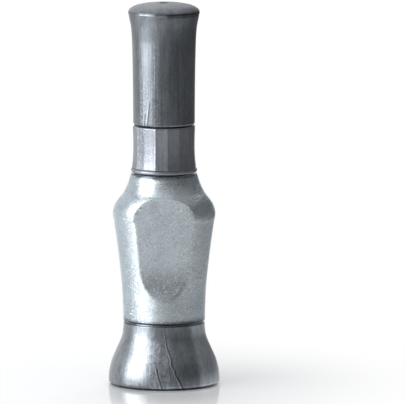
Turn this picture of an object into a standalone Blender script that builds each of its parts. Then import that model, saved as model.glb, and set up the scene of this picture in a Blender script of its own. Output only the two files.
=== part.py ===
"""Nail art pen: a bottle of polish on a flared base, with a needle nozzle and a brush under its caps.

Metres, +Z up. The origin is the centre of the resting face, and the front panel looks along -Y.
"""
import math

import bmesh
import bpy
import numpy as np
from mathutils import Matrix

# Heights of the pieces that show, from the resting face up to the collar
BASE_HEIGHT = 0.0162
BODY_HEIGHT = 0.0385
COLLAR_HEIGHT = 0.0123

# Seams and fits
BASE_SEAM = 0.0006
COLLAR_SEAM = 0.0004
CAP_SEAM = 0.0003
FIT_GAP = 0.0002
FINE_GAP = 0.0001
CUT_OVERRUN = 0.0010
MERGE_DISTANCE = 0.000001

# Bottle
WAIST_RADIUS = 0.0107
SHOULDER_RADIUS = 0.0134
THROAT_RADIUS = 0.0086
BOTTLE_WALL = 0.0016
BOTTLE_FLOOR = 0.0017
LEDGE_THICKNESS = 0.0006
NECK_WALL = 0.0016
SPIGOT_EDGE = 0.0004
PANEL_DEPTH = 0.0026
PANEL_DROP = 0.0122
PANEL_LEAN = math.radians(5.45)
PANEL_SWEEP_RADIUS = 0.0250
HEADSPACE = 0.0015

# Base
FOOT_RADIUS = 0.0145
BASE_STEP = 0.0001
BASE_WALL = 0.0014
SOCKET_WALL = 0.0012
SOCKET_FLOOR = 0.0015
LIP_WIDTH = 0.0007
FOOT_HOLLOW = 0.0010
FOOT_ROUNDING = 0.0006
BASE_RIB_COUNT = 6
BASE_RIB_THICKNESS = 0.0010
BASE_HUB_RADIUS = 0.0060
DISC_THICKNESS = 0.0012
DISC_PROUD = 0.0004
DISC_EDGE = 0.0002
DISC_RIM = 0.0016

# Pieces inside the bottle and its neck
WELL_CLEARANCE = 0.0004
BALL_RADIUS = 0.0014
WIPER_FLANGE = 0.0005
WIPER_FLANGE_WIDTH = 0.0010
WIPER_WALL = 0.0007
WIPER_LENGTH = 0.0062
WIPER_LIP_LENGTH = 0.0022
WIPER_LIP_CLEARANCE = 0.0003
SEAL_THICKNESS = 0.0006
SEAL_CLEARANCE = 0.0006

# Collar and inner cap
COLLAR_TOP_RADIUS = 0.00818
COLLAR_FLARE = 0.00027
COLLAR_WALL = 0.0006
COLLAR_LIP = 0.0009
COLLAR_CHAMFER = 0.0003
BEAD_HEIGHT = 0.0011
BEAD_PROUD = 0.0002
BEAD_ROUNDING = 0.00028
FACET_COUNT = 16
FACET_PHASE = math.radians(7.1)
INNER_CAP_WALL = 0.0006
INNER_CAP_CEILING = 0.0009
THREAD_SPACE = 0.0008

# Nozzle and needle
NOZZLE_RIM_HEIGHT = 0.0016
NOZZLE_RIM_RADIUS = 0.00675
NOZZLE_RIM_LIP = 0.00025
RIB_COUNT = 24
RIB_LENGTH = 0.0045
RIB_RADIUS = 0.00062
RIB_STEP = 0.00005
GROOVE_DEPTH = 0.00054
RIB_TAPER = 0.00024
SHOULDER_CONE_HEIGHT = 0.0028
BARREL_HEIGHT = 0.0100
BARREL_RADIUS = 0.0045
BARREL_TAPER = 0.0002
TIP_CONE_HEIGHT = 0.0035
TIP_TUBE_HEIGHT = 0.0034
TIP_TUBE_RADIUS = 0.0017
TIP_EDGE = 0.00034
NEEDLE_RADIUS = 0.00025
NEEDLE_WALL = 0.00012
NEEDLE_EXPOSED = 0.00405
NEEDLE_SEAT = 0.0050
CHANNEL_RADIUS = 0.0007
SOCKET_DEPTH = 0.0040

# Stem and brush
STEM_RADIUS = 0.00172
STEM_TAPER = 0.00034
STEM_BORE_RADIUS = 0.0006
BULB_SWELL = 0.00018
BULB_LENGTH = 0.0023
PORT_RADIUS = 0.0003
PORT_HEIGHT = 0.0076
TUFT_LENGTH = 0.0192
TUFT_ROOT_RADIUS = 0.00028
TUFT_BELLY_RADIUS = 0.00052
TUFT_TIP_RADIUS = 0.00025
TUFT_SLICE = 0.0004
TUFT_INSET = 0.0006
TUFT_BORE_DEPTH = 0.0018
TUFT_CLEARANCE = 0.0027
STRAND_COUNT = 300
ANCHOR_RADIUS = 0.00014

# Cap
CAP_WALL = 0.00108
CAP_EDGE = 0.0002
CAP_BELLY = 0.00026
CAP_FLARE = 0.00096
CAP_CEILING = 0.0012
CAP_DOME_HEIGHT = 0.0022
DIMPLE_RADIUS = 0.00125
DIMPLE_DEPTH = 0.0004
LINER_WALL = 0.0010
LINER_SKIRT_THICKNESS = 0.0008
LINER_SKIRT_RISE = 0.0012
PLUG_RADIUS = 0.0015
PLUG_STANDOFF = 0.0011
PLUG_CROWN = 0.00015
PLUG_EDGE = 0.0003

# Facets of the round pieces
BODY_SEGMENTS = 40
ROUND_SEGMENTS = 32
SMALL_SEGMENTS = 16
FINE_SEGMENTS = 12
SMOOTH_ANGLE = math.radians(32)

# Levels of the stack
BASE_TOP = BASE_HEIGHT
BODY_BOTTOM = BASE_TOP + BASE_SEAM
BODY_TOP = BODY_BOTTOM + BODY_HEIGHT
COLLAR_BOTTOM = BODY_TOP + COLLAR_SEAM
COLLAR_TOP = COLLAR_BOTTOM + COLLAR_HEIGHT
CAP_BOTTOM = COLLAR_TOP + CAP_SEAM

# Places inside the base and the bottle
BASE_TOP_RADIUS = WAIST_RADIUS - BASE_STEP
SPIGOT_RADIUS = BASE_TOP_RADIUS - BASE_WALL - FIT_GAP
DISC_RADIUS = FOOT_RADIUS - DISC_RIM - FIT_GAP
SOCKET_FLOOR_TOP = DISC_THICKNESS + FIT_GAP + FOOT_HOLLOW + SOCKET_FLOOR
BOTTLE_BOTTOM = SOCKET_FLOOR_TOP + FIT_GAP
CAVITY_FLOOR = BOTTLE_BOTTOM + BOTTLE_FLOOR
LEDGE_TOP = BODY_BOTTOM + LEDGE_THICKNESS

# Places inside the collar, from its flats inwards and from its lip down to the rim of the neck
COLLAR_FOOT_RADIUS = COLLAR_TOP_RADIUS + COLLAR_FLARE
COLLAR_BORE_RADIUS = COLLAR_TOP_RADIUS * math.cos(math.pi / FACET_COUNT) - COLLAR_WALL
INNER_CAP_RADIUS = COLLAR_BORE_RADIUS - FINE_GAP
THREAD_BORE_RADIUS = INNER_CAP_RADIUS - INNER_CAP_WALL
NECK_RADIUS = THREAD_BORE_RADIUS - THREAD_SPACE
NECK_BORE_RADIUS = NECK_RADIUS - NECK_WALL
LIP_BOTTOM = COLLAR_TOP - COLLAR_LIP
INNER_CAP_TOP = LIP_BOTTOM - FIT_GAP
CEILING = INNER_CAP_TOP - INNER_CAP_CEILING
SEAL_TOP = CEILING - FINE_GAP
SEAL_BOTTOM = SEAL_TOP - SEAL_THICKNESS
WIPER_TOP = SEAL_BOTTOM - FINE_GAP
WIPER_FOOT = WIPER_TOP - WIPER_LENGTH
NECK_RIM = WIPER_TOP - WIPER_FLANGE - FINE_GAP
FILL_TOP = WIPER_FOOT - HEADSPACE

# Places of the nozzle, from the collar up
RIM_BOTTOM = COLLAR_TOP + FIT_GAP
RIM_TOP = RIM_BOTTOM + NOZZLE_RIM_HEIGHT
RIBS_TOP = RIM_TOP + RIB_LENGTH
BARREL_BOTTOM = RIBS_TOP + SHOULDER_CONE_HEIGHT
BARREL_TOP = BARREL_BOTTOM + BARREL_HEIGHT
TIP_CONE_TOP = BARREL_TOP + TIP_CONE_HEIGHT
TIP_TOP = TIP_CONE_TOP + TIP_TUBE_HEIGHT
NEEDLE_TOP = TIP_TOP + NEEDLE_EXPOSED
NEEDLE_BOTTOM = TIP_TOP - NEEDLE_SEAT
RIB_CREST_RADIUS = NOZZLE_RIM_RADIUS - RIB_STEP
RIB_CENTRE_RADIUS = RIB_CREST_RADIUS - RIB_RADIUS
CORE_RADIUS = RIB_CREST_RADIUS - GROOVE_DEPTH
NOZZLE_STUB_RADIUS = NECK_RADIUS - FIT_GAP
NOZZLE_BOTTOM = INNER_CAP_TOP + FINE_GAP
STEM_TOP = NOZZLE_BOTTOM + SOCKET_DEPTH

# Places of the brush, from the floor of the bottle up
TUFT_TIP = CAVITY_FLOOR + TUFT_CLEARANCE
STEM_BOTTOM = TUFT_TIP + TUFT_LENGTH
STEM_END_RADIUS = STEM_RADIUS - STEM_TAPER
BULB_RADIUS = STEM_END_RADIUS + BULB_SWELL
PORT_LEVEL = STEM_BOTTOM + PORT_HEIGHT
TUFT_TOP = STEM_BOTTOM + TUFT_INSET
TUFT_BORE_RADIUS = TUFT_ROOT_RADIUS + FIT_GAP

# Places of the cap, which fits over the nozzle and its needle
PLUG_TOP = NEEDLE_TOP + FINE_GAP + PLUG_CROWN
PLUG_BOTTOM = TIP_TOP + PLUG_STANDOFF
CAP_INNER_CEILING = PLUG_TOP + FINE_GAP
CAP_TOP = CAP_INNER_CEILING + CAP_CEILING + DIMPLE_DEPTH
CAP_HEIGHT = CAP_TOP - CAP_BOTTOM
CAP_BORE_RADIUS = NOZZLE_RIM_RADIUS + FIT_GAP
CAP_MOUTH_RADIUS = CAP_BORE_RADIUS + CAP_WALL
CAP_NECK_RADIUS = CAP_MOUTH_RADIUS + CAP_BELLY
CAP_HEAD_RADIUS = CAP_NECK_RADIUS + CAP_FLARE
LINER_BOTTOM = BARREL_BOTTOM + LINER_SKIRT_RISE

# Outlines in shares of the sizes that they follow: outwards first, then upwards
BELL_SHARES = ((1.0, 0.08), (0.95, 0.20), (0.755, 0.39), (0.41, 0.585), (0.09, 0.785), (0.0, 1.0))
LOWER_BODY_SHARES = ((0.0, 0.0), (0.08, 0.19), (0.30, 0.36), (0.62, 0.545), (0.90, 0.68))
UPPER_BODY_SHARES = ((1.0, 0.735), (0.83, 0.80), (0.46, 0.862), (0.20, 0.925), (0.0, 1.0))
SHOULDER_SHARE = UPPER_BODY_SHARES[0][1]
SHOULDER_LEVEL = BODY_BOTTOM + BODY_HEIGHT * SHOULDER_SHARE
CAP_SIDE_SHARES = ((0.0, 0.01), (0.35, 0.29), (0.80, 0.56), (1.0, 0.69))
CAP_FLARE_SHARES = ((0.08, 0.77), (0.20, 0.825), (0.39, 0.88), (0.60, 0.915), (0.88, 0.96),
                    (1.0, 0.99))
CAP_DOME_SHARES = ((1.0, 0.0), (0.975, 0.26), (0.885, 0.52), (0.60, 0.86), (0.30, 0.97))
DIMPLE_SHARES = ((1.0, 0.0), (0.75, 0.6), (0.0, 1.0))
BULB_SHARES = ((0.82, 0.18), (1.0, 0.60))
TUFT_BELLY_SHARE = 0.69


# Materials
def plastic(name, colour, roughness, metallic=0.0, transmission=0.0):
    """One Principled material: base colour, roughness, metallic share and transmission."""
    material = bpy.data.materials.new(name)
    material.use_nodes = True
    shader = material.node_tree.nodes["Principled BSDF"]
    shader.inputs["Base Color"].default_value = (*colour, 1.0)
    shader.inputs["Roughness"].default_value = roughness
    shader.inputs["Metallic"].default_value = metallic
    shader.inputs["Transmission Weight"].default_value = transmission
    material.diffuse_color = (*colour, 1.0)
    return material


# Outlines and turned shapes
def smooth_curve(stations, steps):
    """A Catmull-Rom curve through (radius, height) stations, each span cut into equal steps."""
    points = [np.array(station) for station in stations]
    before = points[0] * 2 - points[1]
    after = points[-1] * 2 - points[-2]
    padded = [before] + points + [after]
    curve = []
    for a, b, c, d in zip(padded, padded[1:], padded[2:], padded[3:]):
        for step in range(steps):
            t = step / steps
            place = (2 * b + (c - a) * t + (2 * a - 5 * b + 4 * c - d) * t ** 2
                     + (3 * b - a - 3 * c + d) * t ** 3) / 2
            curve.append(tuple(place))
    curve.append(tuple(points[-1]))
    return curve


def quarter_round(corner_radius, corner_height, rounding, steps=3):
    """Points of a rounded outer edge at the bottom of a turned piece, from below up to its side."""
    centre_radius = corner_radius - rounding
    centre_height = corner_height + rounding
    points = []
    for step in range(steps + 1):
        angle = math.radians(-90) + math.radians(90) * step / steps
        points.append((centre_radius + rounding * math.cos(angle),
                       centre_height + rounding * math.sin(angle)))
    return points


def clean_mesh(shape):
    """Merges doubles and turns every face outwards."""
    bmesh.ops.remove_doubles(shape, verts=shape.verts, dist=MERGE_DISTANCE)
    bmesh.ops.dissolve_degenerate(shape, dist=MERGE_DISTANCE, edges=shape.edges)
    bmesh.ops.recalc_face_normals(shape, faces=shape.faces)


def spun_mesh(outline, segments, start=0.0, sweep=math.tau):
    """Turns a closed (radius, height) outline about Z, all round or through a part turn."""
    shape = bmesh.new()
    verts = [shape.verts.new((radius * math.cos(start), radius * math.sin(start), height))
             for radius, height in outline]
    pairs = list(zip(verts, verts[1:] + verts[:1]))
    edges = [shape.edges.new(pair) for pair in pairs]
    whole = math.isclose(sweep, math.tau)
    if not whole:
        shape.faces.new(verts)
        edges = list(shape.edges)
    bmesh.ops.spin(shape, geom=verts + edges + list(shape.faces), cent=(0, 0, 0), axis=(0, 0, 1),
                   angle=sweep, steps=segments, use_merge=whole)
    clean_mesh(shape)
    return shape


def turned_mesh(outline, segments, start=0.0):
    """Turns an open outline, whose two ends lie on the axis, into one solid of revolution."""
    shape = bmesh.new()
    verts = [shape.verts.new((radius * math.cos(start), radius * math.sin(start), height))
             for radius, height in outline]
    edges = [shape.edges.new(pair) for pair in zip(verts, verts[1:])]
    bmesh.ops.spin(shape, geom=verts + edges, cent=(0, 0, 0), axis=(0, 0, 1),
                   angle=math.tau, steps=segments, use_merge=True)
    clean_mesh(shape)
    return shape


def add_object(name, shape, material=None, smooth=True):
    """Puts a bmesh into the scene as one named object, shaded smooth up to the set angle."""
    mesh = bpy.data.meshes.new(name)
    shape.to_mesh(mesh)
    shape.free()
    if smooth:
        mesh.shade_smooth()
        mesh.set_sharp_from_angle(angle=SMOOTH_ANGLE)
    piece = bpy.data.objects.new(name, mesh)
    bpy.context.scene.collection.objects.link(piece)
    if material is not None:
        mesh.materials.append(material)
    return piece


def add_ring(name, outline, material=None, segments=ROUND_SEGMENTS):
    """A turned piece with a hole through it, from a closed outline."""
    return add_object(name, spun_mesh(outline, segments), material)


def add_turned(name, outline, material=None, segments=ROUND_SEGMENTS):
    """A turned piece without a hole, from an outline that starts and ends on the axis."""
    return add_object(name, turned_mesh(outline, segments), material)


def hide_tool(tool):
    """Marks a cutter or another helper shape, which is no piece of the pen."""
    tool.hide_render = True
    tool.display_type = 'WIRE'
    return tool


def combine(piece, tool, operation):
    """Adds an exact Boolean of a helper shape to a piece."""
    step = piece.modifiers.new(tool.name, 'BOOLEAN')
    step.operation = operation
    step.solver = 'EXACT'
    step.object = hide_tool(tool)
    return piece


def join_shapes(shapes):
    """Gathers several separate shapes into one helper mesh."""
    whole = bmesh.new()
    for shape in shapes:
        mesh = bpy.data.meshes.new("gathered")
        shape.to_mesh(mesh)
        shape.free()
        whole.from_mesh(mesh)
        bpy.data.meshes.remove(mesh)
    return whole


def repeat_round(make_shape, count, phase=0.0):
    """The same shape at equal angles round Z."""
    shapes = []
    for index in range(count):
        shape = make_shape()
        bmesh.ops.rotate(shape, verts=shape.verts, cent=(0, 0, 0),
                         matrix=Matrix.Rotation(phase + math.tau * index / count, 3, 'Z'))
        shapes.append(shape)
    return join_shapes(shapes)


# Base
def base_outline():
    """The bell of the base, from its rounded foot up to its top edge."""
    flare = FOOT_RADIUS - BASE_TOP_RADIUS
    bell = BASE_HEIGHT - DISC_PROUD
    stations = [(BASE_TOP_RADIUS + flare * out, DISC_PROUD + bell * up) for out, up in BELL_SHARES]
    return quarter_round(FOOT_RADIUS, DISC_PROUD, FOOT_ROUNDING) + smooth_curve(stations, 2)


def make_base_shell(material):
    """A flared foot with a lipped socket for the bottle, a recess for its disc and ribbed pockets."""
    recess_radius = DISC_RADIUS + FIT_GAP
    recess_top = DISC_THICKNESS + FIT_GAP
    socket_radius = SPIGOT_RADIUS + FIT_GAP
    under = [(0.0, recess_top), (recess_radius, recess_top), (recess_radius, DISC_PROUD)]
    lip_top = BODY_BOTTOM - FIT_GAP
    hollow = [(socket_radius + LIP_WIDTH, BASE_TOP), (socket_radius + LIP_WIDTH, lip_top),
              (socket_radius, lip_top), (socket_radius, SOCKET_FLOOR_TOP), (0.0, SOCKET_FLOOR_TOP)]
    piece = add_turned("base_shell", under + base_outline() + hollow, material, BODY_SEGMENTS)
    pockets = repeat_round(base_pocket, BASE_RIB_COUNT)
    return combine(piece, add_object("base_pocket_cutter", pockets), 'DIFFERENCE')


def base_pocket():
    """One moulded pocket between two ribs: shallow under the socket, and deeper beside it as far up
    as the skirt of the base stands clear of the socket."""
    socket_side = SPIGOT_RADIUS + FIT_GAP + SOCKET_WALL
    recess_top = DISC_THICKNESS + FIT_GAP
    mouth = recess_top - CUT_OVERRUN
    hollow_top = recess_top + FOOT_HOLLOW
    widest = DISC_RADIUS - FIT_GAP
    wall = [(min(FOOT_RADIUS - BASE_WALL, widest), mouth)]
    for radius, height in base_outline():
        inside = min(radius - BASE_WALL, widest)
        beside_socket = inside > socket_side + BASE_RIB_THICKNESS / 2
        if height > recess_top and (beside_socket or height < hollow_top):
            wall.append((inside, height))
    side = min(socket_side, wall[-1][0])
    corners = [(BASE_HUB_RADIUS, mouth)] + wall
    corners += [(side, wall[-1][1]), (side, hollow_top), (BASE_HUB_RADIUS, hollow_top)]
    profile = [corner for corner, after in zip(corners, corners[1:] + corners[:1]) if corner != after]
    rib_angle = BASE_RIB_THICKNESS / socket_side
    sweep = math.tau / BASE_RIB_COUNT - rib_angle
    return spun_mesh(profile, BODY_SEGMENTS // BASE_RIB_COUNT, rib_angle / 2, sweep)


def make_base_disc(material):
    """The disc that closes the foot and carries the flat resting face."""
    outline = [(0.0, 0.0), (DISC_RADIUS - DISC_EDGE, 0.0), (DISC_RADIUS, DISC_EDGE),
               (DISC_RADIUS, DISC_THICKNESS), (0.0, DISC_THICKNESS)]
    return add_turned("base_disc", outline, material, BODY_SEGMENTS)


# Bottle
def body_outline(inset=0.0):
    """The side of the bottle from its lower seam to its throat, moved in by the inset."""
    swell = SHOULDER_RADIUS - WAIST_RADIUS
    fall = SHOULDER_RADIUS - THROAT_RADIUS
    lower = [(WAIST_RADIUS + swell * out, BODY_BOTTOM + BODY_HEIGHT * up)
             for out, up in LOWER_BODY_SHARES]
    upper = [(THROAT_RADIUS + fall * out, BODY_BOTTOM + BODY_HEIGHT * up)
             for out, up in UPPER_BODY_SHARES]
    return [(radius - inset, height) for radius, height in smooth_curve(lower + upper, 2)]


def panel_profile(depth):
    """Side view of the flat panel: it leans in as it goes down, then sweeps out along an arc."""
    touch = (SHOULDER_RADIUS - PANEL_DEPTH - PANEL_DROP * math.tan(PANEL_LEAN),
             SHOULDER_LEVEL - PANEL_DROP)
    centre = (touch[0] + PANEL_SWEEP_RADIUS * math.cos(PANEL_LEAN),
              touch[1] - PANEL_SWEEP_RADIUS * math.sin(PANEL_LEAN))
    radius = PANEL_SWEEP_RADIUS + depth
    reach = SHOULDER_RADIUS + CUT_OVERRUN
    sweep = PANEL_LEAN + math.acos((centre[0] - reach) / radius)
    steps = 7
    angles = [PANEL_LEAN - sweep * step / steps for step in range(steps + 1)]
    arc = [(centre[0] - radius * math.cos(angle), centre[1] + radius * math.sin(angle))
           for angle in angles]
    rise = BODY_TOP - arc[0][1]
    top = (arc[0][0] + rise * math.tan(PANEL_LEAN), BODY_TOP)
    outside = reach + CUT_OVERRUN
    return [(outside, BODY_TOP), top] + arc + [(outside, arc[-1][1])]


def panel_cutter(name, depth):
    """The two blocks that cut the front and back panels, or their inner faces at a depth."""
    half_width = SHOULDER_RADIUS + CUT_OVERRUN
    blocks = []
    for side in (-1, 1):
        shape = bmesh.new()
        near = [shape.verts.new((-half_width, side * out, height))
                for out, height in panel_profile(depth)]
        moved = bmesh.ops.extrude_face_region(shape, geom=[shape.faces.new(near)])["geom"]
        far = [item for item in moved if isinstance(item, bmesh.types.BMVert)]
        bmesh.ops.translate(shape, verts=far, vec=(half_width * 2, 0, 0))
        clean_mesh(shape)
        blocks.append(shape)
    return add_object(name, join_shapes(blocks), smooth=False)


def make_bottle(material):
    """The clear container: spigot, body with two panels, throat ledge and neck, hollow inside."""
    outline = [(0.0, BOTTLE_BOTTOM), (SPIGOT_RADIUS - SPIGOT_EDGE, BOTTLE_BOTTOM),
               (SPIGOT_RADIUS, BOTTLE_BOTTOM + SPIGOT_EDGE), (SPIGOT_RADIUS, BODY_BOTTOM)]
    outline += body_outline()
    outline += [(NECK_RADIUS, BODY_TOP), (NECK_RADIUS, NECK_RIM), (0.0, NECK_RIM)]
    piece = add_turned("bottle", outline, material, BODY_SEGMENTS)
    combine(piece, panel_cutter("panel_cutter", 0.0), 'DIFFERENCE')
    top = NECK_RIM + CUT_OVERRUN
    return combine(piece, cavity_shape("cavity_cutter", 0.0, top), 'DIFFERENCE')


def below_level(outline, level):
    """The part of a rising outline below a level, with its last point on that level."""
    kept = [point for point in outline if point[1] < level]
    (radius, height), (next_radius, next_height) = outline[len(kept) - 1:len(kept) + 1]
    share = (level - height) / (next_height - height)
    return kept + [(radius + (next_radius - radius) * share, level)]


def cavity_shape(name, gap, top, material=None):
    """The inside of the bottle, drawn in by a gap and cut off at a height."""
    inset = BOTTLE_WALL + gap
    floor = CAVITY_FLOOR + gap
    ledge = LEDGE_TOP + gap
    roof = BODY_TOP - LEDGE_THICKNESS - gap
    spigot_bore = SPIGOT_RADIUS - inset
    side = [(radius, height) for radius, height in body_outline(inset)
            if height > ledge and height < roof]
    bore = NECK_BORE_RADIUS - gap
    inside = [(spigot_bore, ledge), (WAIST_RADIUS - inset, ledge)] + side
    inside += [(THROAT_RADIUS - inset, roof), (bore, roof), (bore, NECK_RIM + 2 * CUT_OVERRUN)]
    outline = [(0.0, floor), (spigot_bore, floor)] + below_level(inside, top) + [(0.0, top)]
    piece = add_turned(name, outline, material, ROUND_SEGMENTS)
    return combine(piece, panel_cutter(name + "_panels", inset), 'DIFFERENCE')


def make_polish(material):
    """The fill of polish, with a well where the stem and brush hang and a space for the balls."""
    piece = cavity_shape("polish", FIT_GAP, FILL_TOP, material)
    well = STEM_RADIUS + WELL_CLEARANCE
    pool = 2 * BALL_RADIUS + TUFT_TIP_RADIUS + 2 * WELL_CLEARANCE
    floor = CAVITY_FLOOR - CUT_OVERRUN
    pool_top = CAVITY_FLOOR + FIT_GAP + 2 * BALL_RADIUS + WELL_CLEARANCE
    outline = [(0.0, floor), (pool, floor), (pool, pool_top), (well, pool_top + pool - well),
               (well, FILL_TOP + CUT_OVERRUN), (0.0, FILL_TOP + CUT_OVERRUN)]
    cutter = add_turned("well_cutter", outline, segments=SMALL_SEGMENTS)
    return combine(piece, cutter, 'DIFFERENCE')


def make_mixing_balls(material):
    """Two steel balls that lie on the floor of the bottle, one each side of the brush."""
    reach = BALL_RADIUS + TUFT_TIP_RADIUS + WELL_CLEARANCE
    height = CAVITY_FLOOR + FIT_GAP + BALL_RADIUS
    for name, side in (("mixing_ball_left", -1), ("mixing_ball_right", 1)):
        shape = bmesh.new()
        bmesh.ops.create_icosphere(shape, subdivisions=2, radius=BALL_RADIUS)
        ball = add_object(name, shape, material)
        ball.location = (side * reach, 0, height)


def make_neck_wiper(material):
    """A flanged tube in the neck that narrows to a soft lip close round the stem."""
    outer = NECK_BORE_RADIUS - FIT_GAP
    inner = outer - WIPER_WALL
    lip = STEM_RADIUS + WIPER_LIP_CLEARANCE
    flange = NECK_BORE_RADIUS + WIPER_FLANGE_WIDTH
    shoulder = WIPER_FOOT + WIPER_LIP_LENGTH
    outline = [(flange, WIPER_TOP), (inner, WIPER_TOP), (inner, shoulder + WIPER_WALL / 2),
               (lip, WIPER_FOOT + WIPER_WALL / 2), (lip, WIPER_FOOT), (lip + WIPER_WALL, WIPER_FOOT),
               (outer, shoulder), (outer, WIPER_TOP - WIPER_FLANGE),
               (flange, WIPER_TOP - WIPER_FLANGE)]
    return add_ring("neck_wiper", outline, material)


def make_neck_seal(material):
    """The flat gasket between the wiper's flange and the inner cap."""
    inner = STEM_RADIUS + SEAL_CLEARANCE
    outline = [(inner, SEAL_BOTTOM), (NECK_RADIUS, SEAL_BOTTOM), (NECK_RADIUS, SEAL_TOP),
               (inner, SEAL_TOP)]
    return add_ring("neck_seal", outline, material)


# Collar and inner cap
def make_collar(material):
    """A shell of flat facets over a round bead, with a lip at the top round the nozzle."""
    bead_top = COLLAR_BOTTOM + BEAD_HEIGHT
    start = FACET_PHASE - math.radians(90)
    facets = [(0.0, bead_top - COLLAR_CHAMFER), (COLLAR_FOOT_RADIUS, bead_top - COLLAR_CHAMFER),
              (COLLAR_TOP_RADIUS, COLLAR_TOP - COLLAR_CHAMFER),
              (COLLAR_TOP_RADIUS - COLLAR_CHAMFER, COLLAR_TOP), (0.0, COLLAR_TOP)]
    piece = add_object("collar", turned_mesh(facets, FACET_COUNT, start), material, smooth=False)
    bead_radius = COLLAR_FOOT_RADIUS + BEAD_PROUD
    bead_neck = bead_radius - BEAD_ROUNDING
    bead = [(0.0, COLLAR_BOTTOM), (bead_neck, COLLAR_BOTTOM),
            (bead_radius, COLLAR_BOTTOM + BEAD_ROUNDING), (bead_radius, bead_top - BEAD_ROUNDING),
            (bead_neck, bead_top), (0.0, bead_top)]
    combine(piece, add_turned("bead_shape", bead), 'UNION')
    hole = NOZZLE_STUB_RADIUS + FINE_GAP
    below = COLLAR_BOTTOM - CUT_OVERRUN
    above = COLLAR_TOP + CUT_OVERRUN
    opening = [(0.0, below), (COLLAR_BORE_RADIUS, below), (COLLAR_BORE_RADIUS, LIP_BOTTOM),
               (hole, LIP_BOTTOM), (hole, above), (0.0, above)]
    return combine(piece, add_turned("collar_bore_cutter", opening), 'DIFFERENCE')


def make_inner_cap(material):
    """The cup inside the collar that screws onto the neck, with a hole for the stem."""
    hole = STEM_RADIUS + FIT_GAP
    foot = COLLAR_BOTTOM + FIT_GAP
    outline = [(hole, CEILING), (THREAD_BORE_RADIUS, CEILING), (THREAD_BORE_RADIUS, foot),
               (INNER_CAP_RADIUS, foot), (INNER_CAP_RADIUS, INNER_CAP_TOP), (hole, INNER_CAP_TOP)]
    return add_ring("inner_cap", outline, material)


# Nozzle and needle
def nozzle_rib():
    """One upright rib: a round bar with a domed head, leaning in with the taper of the band."""
    shape = bmesh.new()
    sides = 8
    dome_angle = math.radians(45)
    head = RIBS_TOP - RIB_RADIUS
    rings = ((RIB_RADIUS, RIM_TOP - NOZZLE_RIM_HEIGHT / 2), (RIB_RADIUS, head),
             (RIB_RADIUS * math.cos(dome_angle), head + RIB_RADIUS * math.sin(dome_angle)))
    previous = None
    for radius, height in rings:
        middle = RIB_CENTRE_RADIUS - rib_lean(height)
        ring = [shape.verts.new((middle + radius * math.cos(math.tau * side / sides),
                                 radius * math.sin(math.tau * side / sides), height))
                for side in range(sides)]
        if previous is None:
            shape.faces.new(ring)
        else:
            for index in range(sides):
                after = (index + 1) % sides
                shape.faces.new((previous[index], previous[after], ring[after], ring[index]))
        previous = ring
    crown = shape.verts.new((RIB_CENTRE_RADIUS - rib_lean(RIBS_TOP), 0.0, RIBS_TOP))
    for index in range(sides):
        shape.faces.new((previous[index], previous[(index + 1) % sides], crown))
    clean_mesh(shape)
    return shape


def rib_lean(height):
    """How far the ribbed band has drawn in at a height."""
    return RIB_TAPER * (height - RIM_TOP) / RIB_LENGTH


def make_nozzle(material):
    """The pen tip: rim, ribbed band, shoulder, barrel, cone and tip tube, with its inner ways."""
    lip = NOZZLE_RIM_LIP
    barrel_top_radius = BARREL_RADIUS - BARREL_TAPER
    outline = [(0.0, NOZZLE_BOTTOM), (NOZZLE_STUB_RADIUS, NOZZLE_BOTTOM),
               (NOZZLE_STUB_RADIUS, RIM_BOTTOM), (NOZZLE_RIM_RADIUS, RIM_BOTTOM),
               (NOZZLE_RIM_RADIUS, RIM_TOP - lip), (NOZZLE_RIM_RADIUS - lip, RIM_TOP),
               (CORE_RADIUS, RIM_TOP), (CORE_RADIUS - RIB_TAPER, RIBS_TOP),
               (BARREL_RADIUS, BARREL_BOTTOM),
               (barrel_top_radius, BARREL_TOP), (TIP_TUBE_RADIUS, TIP_CONE_TOP),
               (TIP_TUBE_RADIUS, TIP_TOP - TIP_EDGE), (TIP_TUBE_RADIUS - TIP_EDGE, TIP_TOP),
               (0.0, TIP_TOP)]
    piece = add_turned("nozzle", outline, material)
    ribs = repeat_round(nozzle_rib, RIB_COUNT)
    combine(piece, add_object("nozzle_ribs", ribs), 'UNION')
    socket = STEM_RADIUS + FIT_GAP
    needle_way = NEEDLE_RADIUS + FINE_GAP
    floor = NOZZLE_BOTTOM - CUT_OVERRUN
    top = TIP_TOP + CUT_OVERRUN
    ways = [(0.0, floor), (socket, floor), (socket, STEM_TOP + FINE_GAP),
            (CHANNEL_RADIUS, STEM_TOP + FINE_GAP + socket),
            (CHANNEL_RADIUS, NEEDLE_BOTTOM - FINE_GAP), (needle_way, NEEDLE_BOTTOM - FINE_GAP),
            (needle_way, top), (0.0, top)]
    cutter = add_turned("nozzle_way_cutter", ways, segments=SMALL_SEGMENTS)
    return combine(piece, cutter, 'DIFFERENCE')


def make_needle(material):
    """A fine steel tube, held in the tip tube."""
    bore = NEEDLE_RADIUS - NEEDLE_WALL
    outline = [(bore, NEEDLE_BOTTOM), (NEEDLE_RADIUS, NEEDLE_BOTTOM), (NEEDLE_RADIUS, NEEDLE_TOP),
               (bore, NEEDLE_TOP)]
    return add_ring("needle", outline, material, FINE_SEGMENTS)


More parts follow.
